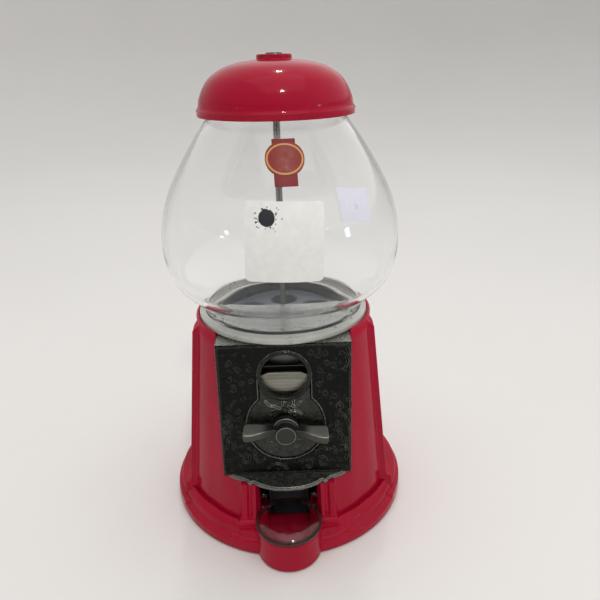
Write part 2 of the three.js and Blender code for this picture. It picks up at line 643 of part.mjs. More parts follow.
function roundedSide(half, halfHeight, corner) {
  return (v) => {
    const into = Math.max(0, Math.abs(v) - (halfHeight - corner));
    return half - corner + Math.sqrt(Math.max(corner * corner - into * into, 0.04));
  };
}

// ---- the lid ----
function lid() {
  const outside = [[42.2, 247.6], [44, 247.6], [44, 250.2], [44.4, 250.8], [43.1, 252.4], [42.3, 256.6],
    [39.6, 262.6], [35.4, 267.8], [28, 272.3], [19, 274.8], [9.6, 276]];
  const nutSeat = [[9.6, 278], [9, 278.6], [5.1, 278.6], [5.1, 276.2], [2.6, 276.2], [2.6, 273.6]];
  const inside = [[18.4, 272.6], [27, 270.2], [34, 265.8], [38, 261], [40.6, 255.4], [35.4, 252.4],
    [35.4, 250.8], [42.2, 250.8]];
  return lathe([...outside, ...nutSeat, ...inside, outside[0]]);
}

function lidNut() {
  const nut = lathe([[0, 278], [ROD_RADIUS + GAP, 278], [ROD_RADIUS + GAP, 276.6], [4.7, 276.6], [4.7, 279],
    [4.2, TOTAL_HEIGHT], [0, TOTAL_HEIGHT]], 24);
  return cut(nut, box(-6, 6, -0.6, 0.6, 278.7, 290));
}

// ---- the cup's flap ----
function chuteFlap() {
  const overCup = new THREE.Matrix4().makeTranslation(0, CUP_Y, 0);
  const dome = lathe([[19.6, 19.9], [19.6, 21.9], [18.8, 22.3], [15, 24], [8, 25.2], [0, 25.6], [0, 24.5],
    [8, 24.1], [14.7, 22.9], [17.6, 21.5], [17.6, 19.9], [19.6, 19.9]], 26, overCup);
  const ears = [-1, 1].map((side) => {
    const [near, far] = [side * 13.7, side * 16.6].sort((a, b) => a - b);
    const pin = [side * 15, side * 19.2].sort((a, b) => a - b);
    const arm = prismX([[-60, 20.4], [HINGE_Y, 21.2], [HINGE_Y, 25.8], [-56, 25.4], [-60, 23]], near, far);
    return join(arm, rodX(2.3, near, far, HINGE_Y, HINGE_Z), rodX(1.2, pin[0], pin[1], HINGE_Y, HINGE_Z));
  });
  return join(dome, ...ears);
}

// ---- assembly ----
place("base_body", baseBody(), redPaint);
place("bottom_cover", bottomCover(), zincSteel);
[45, 135, 225, 315].forEach((angle, i) => {
  place("foot_pad_" + (i + 1), footPad(THREE.MathUtils.degToRad(angle)), blackRubber);
});
place("tie_rod", disc(ROD_RADIUS, 1.2, 277.6, 0, 0, SMALL_ROUND), zincSteel);
place("rod_washer", ring(ROD_RADIUS + GAP, 6.5, 3.8, 4.6, SMALL_ROUND), zincSteel);
place("rod_nut", cut(disc(4.4, 1, 3.7, 0, 0, 6), disc(ROD_RADIUS + GAP, 0, 5, 0, 0, SMALL_ROUND)), zincSteel);
place("hopper_pan", hopperPan(), darkSteel);
place("gum_baffle", gumBaffle(), greyPlastic);
place("globe_gasket", globeGasket(), whiteRubber);
place("gum_chute", gumChute(), darkPlastic);
place("mech_faceplate", mechFaceplate(), pewter);
place("mech_backplate", mechBackplate(), brushedSteel);
POSTS.forEach((post, i) => place("mech_screw_" + (i + 1), mechScrew(post), zincSteel));
place("idler_pin", join(rodY(IDLER_PIN_RADIUS, BACKPLATE_FRONT + 0.1, GEAR_BACK + 0.5, 0, IDLER_Z),
  rodY(3.4, GEAR_BACK + 0.25, GEAR_BACK + 1.1, 0, IDLER_Z)), zincSteel);
const idlerGear = spurGear(IDLER_TEETH, IDLER_Z, GEAR_FRONT, GEAR_BACK, IDLER_PIN_RADIUS + GAP);
place("idler_gear", idlerGear, whitePlastic);
place("crank_handle", crankHandle(), pewter);
place("crank_shaft", rodY(SHAFT_RADIUS, -61.6, -33.1, 0, CRANK_Z), zincSteel);
place("coin_wheel", coinWheel(), brushedSteel);
place("drive_pinion", spurGear(PINION_TEETH, CRANK_Z, -39.6, GEAR_BACK, SHAFT_RADIUS + GAP), whitePlastic);
const clip = [[SHAFT_RADIUS + GAP, -34.2], [5.4, -34.2], [5.4, -33.3], [SHAFT_RADIUS + GAP, -33.3]];
place("shaft_clip", turnedY([...clip, clip[0]], 0, CRANK_Z), zincSteel);
place("coin_pawl", coinPawl(), brushedSteel);
place("pawl_pin", rodY(1.1, -49.5, -39.8, PAWL_X, PAWL_Z), zincSteel);
place("dispensing_wheel", dispensingWheel(), darkPlastic);
place("globe", globe(), clearPlastic);
place("front_label", sticker(3.4, 193.2, 19.8, roundedSide(19.3, 19.8, 4)), labelWhite);
place("seal_label", sticker(4.4, 229.6, 11.4, roundedSide(10.1, 11.4, 9.4)), labelGold);
place("lot_label", sticker(38.6, 206.8, 8.9, roundedSide(9.4, 8.9, 0.6)), labelWhite);
place("lid", lid(), redPaint);
place("lid_nut", lidNut(), darkSteel);
place("chute_flap", chuteFlap(), clearPlastic);

export default root;
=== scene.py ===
"""The looks of a countertop gumball machine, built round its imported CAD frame.

Shapes are drawn in millimetres about the tie rod's axis, with the floor at z = 0 and the front towards -Y.
"""

import math
import random

import bmesh
import bpy
import numpy as np
from mathutils import Matrix, Vector


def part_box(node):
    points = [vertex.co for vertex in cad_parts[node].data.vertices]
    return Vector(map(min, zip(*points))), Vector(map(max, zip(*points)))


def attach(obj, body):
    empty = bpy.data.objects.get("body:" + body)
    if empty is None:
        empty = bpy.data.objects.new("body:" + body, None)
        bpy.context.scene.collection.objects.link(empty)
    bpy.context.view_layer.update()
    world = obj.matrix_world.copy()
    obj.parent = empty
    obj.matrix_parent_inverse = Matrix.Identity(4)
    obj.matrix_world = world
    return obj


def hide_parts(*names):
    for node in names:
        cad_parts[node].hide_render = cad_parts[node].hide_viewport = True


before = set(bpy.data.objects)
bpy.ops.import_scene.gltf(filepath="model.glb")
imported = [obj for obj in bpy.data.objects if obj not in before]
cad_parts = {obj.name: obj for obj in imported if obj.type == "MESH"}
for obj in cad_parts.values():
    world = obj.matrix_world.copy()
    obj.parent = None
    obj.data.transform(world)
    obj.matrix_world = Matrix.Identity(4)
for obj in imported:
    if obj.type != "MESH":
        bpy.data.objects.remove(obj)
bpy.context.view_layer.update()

MM = 0.001
TINY = 1e-9
rod_low, rod_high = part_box("tie_rod")
ROD = np.array([(rod_low.x + rod_high.x) / 2, (rod_low.y + rod_high.y) / 2, 0.0])

ROD_BORE = 2.3

# ---- the stand ----
PLAN_HALF = 65.1  # half-width that the plan outline is drawn at
SHOULDER = 124.0
SHOULDER_HALF = 55.0
TAPER = 0.095
PILASTER = [(63.9, 0), (63.9, 16.6), (65.1, 17.5), (65.1, 22), (63.9, 22.8), (63.9, 24.4), (64.9, 25.2),
            (64.9, 28.6), (60.8, 29.4), (59.6, 31.2)]
CORNER_PANEL = [(59.6, 31.2), (56.4, 36.3), (52.3, 41.6), (47, 47)]
TAB_HALF = 29.8
STEP_HALF = 36.2
CUP_Y = -69.5
CUP_RADIUS = 19.3
CUP_RIM = 19.5
CHUTE_HALF = 17.5
HINGE_Y, HINGE_Z = -51.5, 23.5

# ---- the faceplate: x across, s down its leaning front, h out of it ----
PLATE_HALF = 38.4
PLATE_TOP = np.array([0, -50.6, 129.0])
PLATE_LEAN = math.atan2(5.3, 84.5)
PLATE_LENGTH = math.hypot(5.3, 84.5)
PLATE_DOWN = np.array([0, -math.sin(PLATE_LEAN), -math.cos(PLATE_LEAN)])
PLATE_OUT = np.array([0, -math.cos(PLATE_LEAN), math.sin(PLATE_LEAN)])
PLATE_THICK = 2.2
BOX_BACK = -34.0
COIN_S = 19.35
SCREWS = [(-32.4, 57.5), (32.4, 57.5), (-33, 106.4), (33, 106.4)]  # x, z
COIN_RADIUS = 13.3
CRANK_S = 50.6
CRANK_Z = 78.5
DROOP = 0.15


# ---- points and shells ----
def smooth(points, per=6):
    """Points of a smooth curve through the given ones."""
    p = np.array(points, float)
    ends = np.vstack([p[:1], p, p[-1:]])
    out = []
    for a, b, c, d in zip(ends, ends[1:], ends[2:], ends[3:]):
        for t in np.arange(per) / per:
            out.append(0.5 * (2 * b + (c - a) * t + (2 * a - 5 * b + 4 * c - d) * t**2
                              + (3 * b - a - 3 * c + d) * t**3))
    return np.vstack([out, p[-1:]])


def fillet(points, reach, steps=4, closed=False):
    """The same polyline with its corners rounded off, starting at most reach back from each."""
    p = [np.array(q, float) for q in points]
    n = len(p)
    out = []
    for i, corner in enumerate(p):
        if not closed and i in (0, n - 1):
            out.append(corner)
            continue
        back, on = p[i - 1] - corner, p[(i + 1) % n] - corner
        a = corner + back * min(reach / max(np.linalg.norm(back), TINY), 0.45)
        b = corner + on * min(reach / max(np.linalg.norm(on), TINY), 0.45)
        for t in np.arange(steps + 1) / steps:
            out.append((1 - t) ** 2 * a + 2 * t * (1 - t) * corner + t**2 * b)
    return np.array(out)


def arc(radius, start, end, count, at=(0, 0)):
    turns = np.linspace(start, end, count)
    return [(at[0] + radius * math.cos(t), at[1] + radius * math.sin(t)) for t in turns]


def grid(rows, columns):
    """The quads between the points of a grid, and the points round its rim in order."""
    quads = [(r * columns + c, r * columns + c + 1, (r + 1) * columns + c + 1, (r + 1) * columns + c)
             for r in range(rows - 1) for c in range(columns - 1)]
    rim = [*range(columns), *((r + 1) * columns - 1 for r in range(1, rows)),
           *range(rows * columns - 2, (rows - 1) * columns - 1, -1),
           *(r * columns for r in range(rows - 2, 0, -1))]
    return quads, rim


def skin(rows, wrap_rows=False, caps=True, relief=0.0):
    """A shell over rows of points, each row a closed ring; the end rings are capped unless the rows wrap."""
    grid = np.array(rows, float)
    count, around = grid.shape[:2]
    faces = []
    for r in range(count if wrap_rows else count - 1):
        a, b = r * around, ((r + 1) % count) * around
        faces += [(a + c, a + (c + 1) % around, b + (c + 1) % around, b + c) for c in range(around)]
    if caps and not wrap_rows:
        faces += [tuple(range(around)), tuple(range((count - 1) * around, count * around))]
    return grid.reshape(-1, 3), faces, relief


def lathe(profile, segments=128, at=(0, 0), relief=0.0):
    """A turned solid about an upright line. A profile that doesn't touch the line closes on itself."""
    p = np.array(profile, float)
    closed = p[0][0] > 1e-6 or p[-1][0] > 1e-6
    angles = np.arange(segments) * 2 * math.pi / segments
    rows = [np.c_[at[0] + r * np.cos(angles), at[1] + r * np.sin(angles), np.full(segments, z)] for r, z in p]
    return skin(rows, wrap_rows=closed, caps=False, relief=relief)


def bore(radius, low, high, segments=32, at=(0, 0)):
    """A plain round tool that cuts a hole about an upright line."""
    return lathe([(0, low), (radius, low), (radius, high), (0, high)], segments, at)


def facing_front(shell, x=0.0, z=CRANK_Z):
    """Turns a shell made about an upright line so that its heights run along Y."""
    p, faces, relief = shell
    return np.c_[p[:, 0] + x, p[:, 2], p[:, 1] + z], faces, relief


def on_plate(shell):
    """Moves a shell from the faceplate's own (x, s, h) to the stand's frame."""
    p, faces, relief = shell
    return PLATE_TOP + p[:, :1] * [1, 0, 0] + p[:, 1:2] * PLATE_DOWN + p[:, 2:3] * PLATE_OUT, faces, relief


def inset(outline, amount):
    """A closed outline drawn in by amount."""
    p = np.array(outline, float)
    along = np.roll(p, -1, 0) - np.roll(p, 1, 0)
    normal = np.c_[along[:, 1], -along[:, 0]] / np.linalg.norm(along, axis=1)[:, None]
    area = np.sum(p[:, 0] * np.roll(p[:, 1], -1) - p[:, 1] * np.roll(p[:, 0], -1))
    return p - normal * amount * np.sign(area)


def slab(outline, low, high, bevel=0.3, steps=3, relief=0.0):
    """A prism of an outline in X and Y with rounded rims."""
    rows = []
    turns = np.linspace(0, math.pi / 2, steps + 1)
    for t in turns:
        rows.append((bevel * (1 - math.sin(t)), low + bevel * (1 - math.cos(t))))
    for t in turns[::-1]:
        rows.append((bevel * (1 - math.sin(t)), high - bevel * (1 - math.cos(t))))
    levels = [np.c_[inset(outline, d), np.full(len(outline), z)] for d, z in rows]
    return skin(levels, relief=relief)


def block(x0, x1, y0, y1, z0, z1, bevel=0.0, relief=0.0):
    outline = [(x0, y0), (x1, y0), (x1, y1), (x0, y1)]
    if not bevel:
        return skin([[(x, y, z) for x, y in outline] for z in (z0, z1)], relief=relief)
    return slab(fillet(outline, bevel * 1.5, closed=True), z0, z1, bevel, relief=relief)


def across(outline, x0, x1, bevel=0.0, relief=0.0):
    """A prism along X of an outline in Y and Z."""
    p, faces, relief = slab(outline, x0, x1, bevel, relief=relief) if bevel else skin(
        [[(y, z, x) for y, z in outline] for x in (x0, x1)], relief=relief)
    return np.c_[p[:, 2], p[:, 0], p[:, 1]], faces, relief


def tube(path, radius, sides=10, relief=0.0):
    """A round bar along a path, capped at both ends."""
    p = np.array(path, float)
    along = np.gradient(p, axis=0)
    along /= np.linalg.norm(along, axis=1)[:, None]
    side = np.cross(along, [0.0, 0.0, 1.0])
    side /= np.linalg.norm(side, axis=1)[:, None]
    rise = np.cross(side, along)
    turns = np.arange(sides) * 2 * math.pi / sides
    rows = [[c + radius * (math.cos(t) * a + math.sin(t) * b) for t in turns]
            for c, a, b in zip(p, side, rise)]
    return skin(rows, relief=relief)


# ---- pieces ----
MERGE = 1e-7  # metres; points this close are one point
CUT_MERGE = 2e-6  # the same after a boolean


def mesh_of(name, shells):
    bm = bmesh.new()
    layer = bm.verts.layers.float.new("relief")
    for points, faces, relief in shells:
        values = np.broadcast_to(relief, len(points))
        verts = []
        for point, value in zip(points * MM + ROD, values):
            v = bm.verts.new(point)
            v[layer] = value
            verts.append(v)
        for f in faces:
            bm.faces.new([verts[i] for i in f])
    bmesh.ops.remove_doubles(bm, verts=bm.verts, dist=MERGE)
    bmesh.ops.recalc_face_normals(bm, faces=bm.faces)
    mesh = bpy.data.meshes.new(name)
    bm.to_mesh(mesh)
    bm.free()
    return mesh


def linked(name, mesh):
    obj = bpy.data.objects.new(name, mesh)
    bpy.context.scene.collection.objects.link(obj)
    return obj


def solid(name, *shells):
    return linked(name, mesh_of(name, shells))


def finished(obj, look, body, node, sharp=32):
    """Shades and paints a piece, and hangs it on its body in place of its CAD node."""
    obj.data.shade_smooth()
    obj.data.set_sharp_from_angle(angle=math.radians(sharp))
    weighted = obj.modifiers.new("weighted", "WEIGHTED_NORMAL")
    weighted.keep_sharp = True
    obj.data.materials.clear()
    obj.data.materials.append(look)
    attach(obj, body)
    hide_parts(node)
    return obj


def piece(name, shells, look, body, node, sharp=32):
    return finished(solid(name, *shells), look, body, node, sharp)


def carve(obj, operation, *shells, overlapping=False):
    """Joins the shells to obj, or cuts them away, in one go."""
    tool = solid("tool", *shells)
    modifier = obj.modifiers.new("carve", "BOOLEAN")
    modifier.object, modifier.operation, modifier.solver = tool, operation, "EXACT"
    modifier.use_self = overlapping
    bpy.context.view_layer.update()
    made = bpy.data.meshes.new_from_object(obj.evaluated_get(bpy.context.evaluated_depsgraph_get()))
    obj.modifiers.clear()
    bm = bmesh.new()
    bm.from_mesh(made)
    bmesh.ops.remove_doubles(bm, verts=bm.verts, dist=CUT_MERGE)
    bmesh.ops.dissolve_degenerate(bm, edges=bm.edges, dist=CUT_MERGE / 2)
    bm.to_mesh(made)
    bm.free()
    obj.data = made
    bpy.data.objects.remove(tool)
    return obj


def shell_of(obj, relief=lambda p: 0.0):
    """The shell of a carved object, which is then removed; relief gives each point its value."""
    p = (np.array([v.co for v in obj.data.vertices]) - ROD) / MM
    faces = [tuple(f.vertices) for f in obj.data.polygons]
    bpy.data.objects.remove(obj)
    return p, faces, relief(p)


def kept(node, look, bevel):
    """Shows a CAD node as it is, with its edges softened."""
    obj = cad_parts[node]
    obj.data.materials.clear()
    obj.data.materials.append(look)
    weld = obj.modifiers.new("weld", "WELD")
    weld.merge_threshold = 1e-6
    soften = obj.modifiers.new("soften", "BEVEL")
    soften.width, soften.segments = bevel * MM, 2
    soften.limit_method, soften.angle_limit = "ANGLE", math.radians(35)
    return obj


# ---- materials ----
def feed(tree, socket, value):
    """Sets a socket to a value, or links it to the output that feeds it."""
    if isinstance(value, bpy.types.NodeSocket):
        tree.links.new(value, socket)
    else:
        socket.default_value = value


def node_of(tree, kind, *feeds, operation=None, attribute=None, **inputs):
    """A new shader node, with its inputs given by place or by name."""
    node = tree.nodes.new("ShaderNode" + kind)
    if operation:
        node.operation = operation
    if attribute:
        node.attribute_name = attribute
    for place, value in enumerate(feeds):
        feed(tree, node.inputs[place], value)
    for key, value in inputs.items():
        feed(tree, node.inputs[key.replace("_", " ")], value)
    return node


def new_material(name):
    mat = bpy.data.materials.new(name)
    mat.use_nodes = True
    return mat, mat.node_tree, mat.node_tree.nodes["Principled BSDF"]


def look_of(name, colors, scale=60.0, rough=(0.3, 0.4), stretch=(1, 1, 1), bump=0.0, bump_scale=900.0,
            relief=None, **shader):
    """Noise moves between two colours and two roughnesses, or relief and noise drive a colour ramp."""
    mat, tree, bsdf = new_material(name)
    for key, value in shader.items():
        bsdf.inputs[key.replace("_", " ")].default_value = value
    place = node_of(tree, "TexCoord").outputs["Object"]
    place = node_of(tree, "Mapping", Vector=place, Scale=stretch).outputs["Vector"]
    noise = node_of(tree, "TexNoise", Vector=place, Scale=scale, Detail=4.0, Roughness=0.55)
    drive = noise = noise.outputs["Fac"]
    if relief:
        height = node_of(tree, "Attribute", attribute="relief").outputs["Fac"]
        spread = node_of(tree, "MapRange", Value=noise, To_Min=-0.16, To_Max=0.16)
        drive = node_of(tree, "Math", height, spread.outputs["Result"]).outputs["Value"]
    ramp = node_of(tree, "ValToRGB", Fac=drive)
    stops = relief or [(0.35, colors[0]), (0.68, colors[1])]
    for element, (position, color) in zip(ramp.color_ramp.elements, (stops[0], stops[-1])):
        element.position, element.color = position, (*color, 1)
    for position, color in stops[1:-1]:
        ramp.color_ramp.elements.new(position).color = (*color, 1)
    feed(tree, bsdf.inputs["Base Color"], ramp.outputs["Color"])
    gloss = node_of(tree, "MapRange", Value=noise, From_Min=0.3, From_Max=0.7, To_Min=rough[0],
                    To_Max=rough[1])
    feed(tree, bsdf.inputs["Roughness"], gloss.outputs["Result"])
    if bump:
        grain = node_of(tree, "TexNoise", Vector=place, Scale=bump_scale, Detail=2.0)
        raised = node_of(tree, "Bump", Strength=bump, Distance=0.0002, Height=grain.outputs["Fac"])
        feed(tree, bsdf.inputs["Normal"], raised.outputs["Normal"])
    return mat


def clear_of(name, color, ior, rough, mirror=0.5):
    """Clear glass or plastic that lets the lamps light what it covers."""
    mat, tree, bsdf = new_material(name)
    for key, value in [("Base Color", (*color, 1)), ("Transmission Weight", 1.0), ("IOR", ior),
                       ("Specular IOR Level", mirror), ("Roughness", rough)]:
        bsdf.inputs[key].default_value = value
    shadow = node_of(tree, "LightPath").outputs["Is Shadow Ray"]
    through = node_of(tree, "BsdfTransparent", Color=(*color, 1)).outputs["BSDF"]
    mix = node_of(tree, "MixShader", shadow, bsdf.outputs["BSDF"], through)
    feed(tree, tree.nodes["Material Output"].inputs["Surface"], mix.outputs["Shader"])
    return mat


def paper_of(name, color, ink, blots):
    """Label stock with drops of ink at (x, height, radius) in the label's own millimetres."""
    mat = look_of(name, [tuple(0.94 * c for c in color), color], scale=240.0, rough=(0.42, 0.55), bump=0.15)
    tree = mat.node_tree
    base = tree.nodes["Principled BSDF"].inputs["Base Color"]
    flat = node_of(tree, "Attribute", attribute="flat").outputs["Vector"]
    ragged = node_of(tree, "TexNoise", Vector=flat, Scale=0.55, Detail=5.0, Roughness=0.65)
    wander = node_of(tree, "MapRange", Value=ragged.outputs["Fac"], From_Min=0.25, From_Max=0.75,
                     To_Min=-0.5, To_Max=0.5)
    nearest = None
    for x, height, radius in blots:
        away = node_of(tree, "VectorMath", flat, (x, height, 0), operation="DISTANCE")
        edge = node_of(tree, "Math", away.outputs["Value"], radius, operation="SUBTRACT")
        edge = edge.outputs["Value"]
        if nearest:
            edge = node_of(tree, "Math", nearest, edge, operation="MINIMUM").outputs["Value"]
        nearest = edge
    total = node_of(tree, "Math", nearest, wander.outputs["Result"]).outputs["Value"]
    wet = node_of(tree, "MapRange", Value=total, From_Min=-0.12, From_Max=0.12, To_Min=1.0,
                  To_Max=0.0)
    mix = tree.nodes.new("ShaderNodeMix")
    mix.data_type = "RGBA"
    for place, value in [(0, wet.outputs["Result"]), (6, base.links[0].from_socket), (7, (*ink, 1))]:
        feed(tree, mix.inputs[place], value)
    feed(tree, base, mix.outputs[2])
    return mat


ENAMEL = look_of("enamel", [(0.39, 0.0034, 0.027), (0.34, 0.0026, 0.022)], scale=28, rough=(0.16, 0.26),
                 bump=0.05, bump_scale=420, Specular_IOR_Level=0.03, Coat_Weight=0.30, Coat_Roughness=0.04)
PEWTER = look_of("pewter", None, scale=420, rough=(0.19, 0.36), bump=0.45, bump_scale=1500, Metallic=0.92,
                 relief=[(0.0, (0.010, 0.011, 0.010)), (0.3, (0.024, 0.026, 0.023)),
                         (0.7, (0.075, 0.077, 0.069)), (1.0, (0.24, 0.24, 0.218))])
HANDLE = look_of("handle_pewter", None, scale=500, stretch=(0.12, 1, 1), rough=(0.34, 0.56), bump=0.4,
                 bump_scale=1400, Metallic=0.9,
                 relief=[(0.0, (0.030, 0.031, 0.028)), (0.45, (0.085, 0.085, 0.077)),
                         (1.0, (0.40, 0.40, 0.36))])
BRUSHED = look_of("brushed_steel", [(0.17, 0.165, 0.14), (0.33, 0.325, 0.28)], scale=700, stretch=(0.05, 1, 1),
                  rough=(0.25, 0.45), bump=0.25, bump_scale=1600, Metallic=1.0)
ROD_STEEL = look_of("rod_steel", [(0.15, 0.15, 0.142), (0.24, 0.24, 0.228)], scale=260, stretch=(1, 1, 0.08),
                    rough=(0.14, 0.26), Metallic=1.0)
ZINC = look_of("zinc", [(0.50, 0.51, 0.49), (0.60, 0.60, 0.57)], scale=320, rough=(0.2, 0.34), Metallic=1.0)
DARK_STEEL = look_of("dark_steel", [(0.060, 0.064, 0.068), (0.12, 0.128, 0.136)], scale=30, rough=(0.16, 0.3),
                     Metallic=0.95)
DARK_PLASTIC = look_of("dark_plastic", [(0.036, 0.048, 0.064), (0.048, 0.064, 0.083)], scale=90,
                       rough=(0.32, 0.45), bump=0.1)
GREY_PLASTIC = look_of("grey_plastic", [(0.27, 0.28, 0.272), (0.32, 0.33, 0.32)], scale=70, rough=(0.22, 0.34),
                       bump=0.08)
WHITE_PLASTIC = look_of("white_plastic", [(0.76, 0.74, 0.68), (0.82, 0.80, 0.74)], scale=90, rough=(0.4, 0.5))
WHITE_RUBBER = look_of("white_rubber", [(0.46, 0.455, 0.43), (0.52, 0.515, 0.49)], scale=150, rough=(0.6, 0.75),
                       bump=0.2)
BLACK_RUBBER = look_of("black_rubber", [(0.010, 0.010, 0.010), (0.018, 0.018, 0.018)], scale=200,
                       rough=(0.65, 0.85), bump=0.3)
GLASS = clear_of("globe_clear", (0.985, 0.993, 0.992), 1.46, 0.0)
CLEAR_PLASTIC = clear_of("flap_clear", (0.80, 0.785, 0.78), 1.4, 0.05, 0.28)
INK = (0.012, 0.013, 0.018)
random.seed(11)
BLOT = (-8.8, 11.9)
SPATTER = [(*BLOT, 4.1)] + [(BLOT[0] + away * math.cos(turn), BLOT[1] + away * math.sin(turn), size) for
                            away, turn, size in ((random.uniform(4.4, 7.5), random.uniform(0, 2 * math.pi),
                                                  random.uniform(0.15, 0.42)) for _ in range(26))]
LABEL = paper_of("label_paper", (0.88, 0.88, 0.86), INK, SPATTER)
LOT_PAPER = paper_of("lot_paper", (0.78, 0.78, 0.88), (0.66, 0.67, 0.80), [(0.5, -1.0, 1.3)])
FROSTED = look_of("globe_foot_frosted", [(0.62, 0.615, 0.585), (0.72, 0.715, 0.69)], scale=90, rough=(0.25, 0.4),
                  bump=0.1, IOR=1.45, Transmission_Weight=0.45)
RIM_PLASTIC = look_of("flap_rim_clear", [(0.085, 0.028, 0.032), (0.13, 0.045, 0.050)], rough=(0.08, 0.2),
                      IOR=1.4, Transmission_Weight=0.5)
FOIL = look_of("seal_foil", None, scale=300, rough=(0.3, 0.45), Specular_IOR_Level=0.25,
               relief=[(0.0, (0.24, 0.022, 0.016)), (0.4, (0.29, 0.026, 0.018)), (0.55, (0.50, 0.24, 0.07)),
                       (1.0, (0.60, 0.36, 0.13))])
RIBBON = look_of("seal_ribbon", [(0.19, 0.012, 0.014), (0.26, 0.018, 0.020)], scale=120, rough=(0.35, 0.5),
                 Specular_IOR_Level=0.25)


# ---- the stand ----
def stand_scale(z):
    return (SHOULDER_HALF + TAPER * (SHOULDER - z)) / PLAN_HALF


def stand_columns():
    """One eighth of the stand's outline, dense at its corners and at the edges of the foot's steps."""
    pilaster = fillet(PILASTER, 0.55, 3)[:-1]
    panel = smooth(CORNER_PANEL, 8)
    line = [tuple(q) for q in [*pilaster, *panel]]
    extra = [2, 5, 8, 11, 14, TAB_HALF - 0.35, TAB_HALF - 0.1, TAB_HALF + 0.1, TAB_HALF + 0.35,
             STEP_HALF - 0.3, STEP_HALF, STEP_HALF + 0.3]
    us, vs = [q[0] for q in line], [q[1] for q in line]
    line += [(float(np.interp(v, vs, us)), v) for v in extra]
    return sorted(line, key=lambda q: math.atan2(q[1], q[0]))


# Each row of the foot for the tab in front of a pilaster, the step beside it and the corner: (kind, size, z).
# R is a radius, U a straight face's distance and O a distance out from the stand's outline.
# The last one in a row stands for any place left out.
FOOT_ROWS = [
    (("R", 76.2, 0.8),),
    (("R", 76.9, 1.3),),
    (("R", 77, 2.1),),
    (("R", 77, 5.2), ("R", 77, 5.2), ("R", 77, 4.4)),
    (("R", 77, 7.6), ("R", 77, 7.6), ("R", 77, 5.9)),
    (("R", 76.9, 8.6), ("R", 76.9, 8.6), ("R", 76.8, 6.8)),
    (("R", 76.3, 9.3), ("R", 76.3, 9.3), ("R", 76.2, 7.5)),
    (("R", 75.4, 9.5), ("R", 75.3, 9.5), ("R", 75.2, 8.0)),
    (("R", 74.9, 9.8), ("R", 74.4, 9.7), ("R", 74.3, 8.4)),
    (("R", 74.6, 10.5), ("R", 73.9, 10.0), ("R", 73.8, 8.9)),
    (("R", 74.6, 12.8), ("R", 73.6, 10.6), ("R", 73.6, 9.6)),
    (("R", 74.4, 14.1), ("R", 73.5, 11.7), ("R", 73.5, 11.2)),
    (("R", 73.8, 14.8), ("R", 73.2, 12.7), ("R", 73.2, 12.4)),
    (("R", 72.8, 15.0), ("R", 72.5, 13.8), ("R", 72.5, 13.6)),
    (("U", 69.2, 15.1), ("R", 71.4, 14.9), ("R", 71.4, 14.8)),
    (("U", 68.0, 15.3), ("O", 3.2, 16.1)),
    (("U", 67.6, 15.9), ("O", 2.3, 16.6)),
    (("U", 67.6, 17.2), ("O", 1.6, 16.5)),
    (("U", 67.5, 18.8), ("O", 0.9, 15.8)),
    (("U", 67.2, 19.5), ("O", 0.35, 15.2)),
    (("U", 66.6, 19.9), ("O", 0.05, 15.6)),
    (("O", 0.9, 20.0), ("O", 0, 16.8)),
    (("O", 0.25, 20.3), ("O", 0, 18.6)),
    (("O", 0, 21.2),),
]
# Where the body turns round above its shoulder: (z, scale, share of the round).
SHOULDER_ROWS = [(125.6, 0.998, 0.0), (127, 0.992, 0.06), (128.2, 0.985, 0.4), (128.9, 0.98, 0.8)]
RIM_RADIUS = 54.8
# From the shoulder over the rim, down the globe's and the pan's seats, and back down inside to the foot.
RIM_ROWS = [(54.75, 129.4), (54.6, 130.2), (54.2, 130.75), (53.6, 131), (53.0, 130.8), (52.8, 130.2),
            (52.8, 128.8), (47.2, 128.8), (47.2, 126.9), (42, 126.9), (42, 124.4)]
HOLLOW_ROWS = [(60, 16.9), (66, 12.4), (66, 6.2), (73.6, 6.2), (73.6, 0.8)]
STAND_WALL = 3.6
BODY_FOOT, BODY_STEP = 27, 6.5  # the body's rows start at this height, this far apart


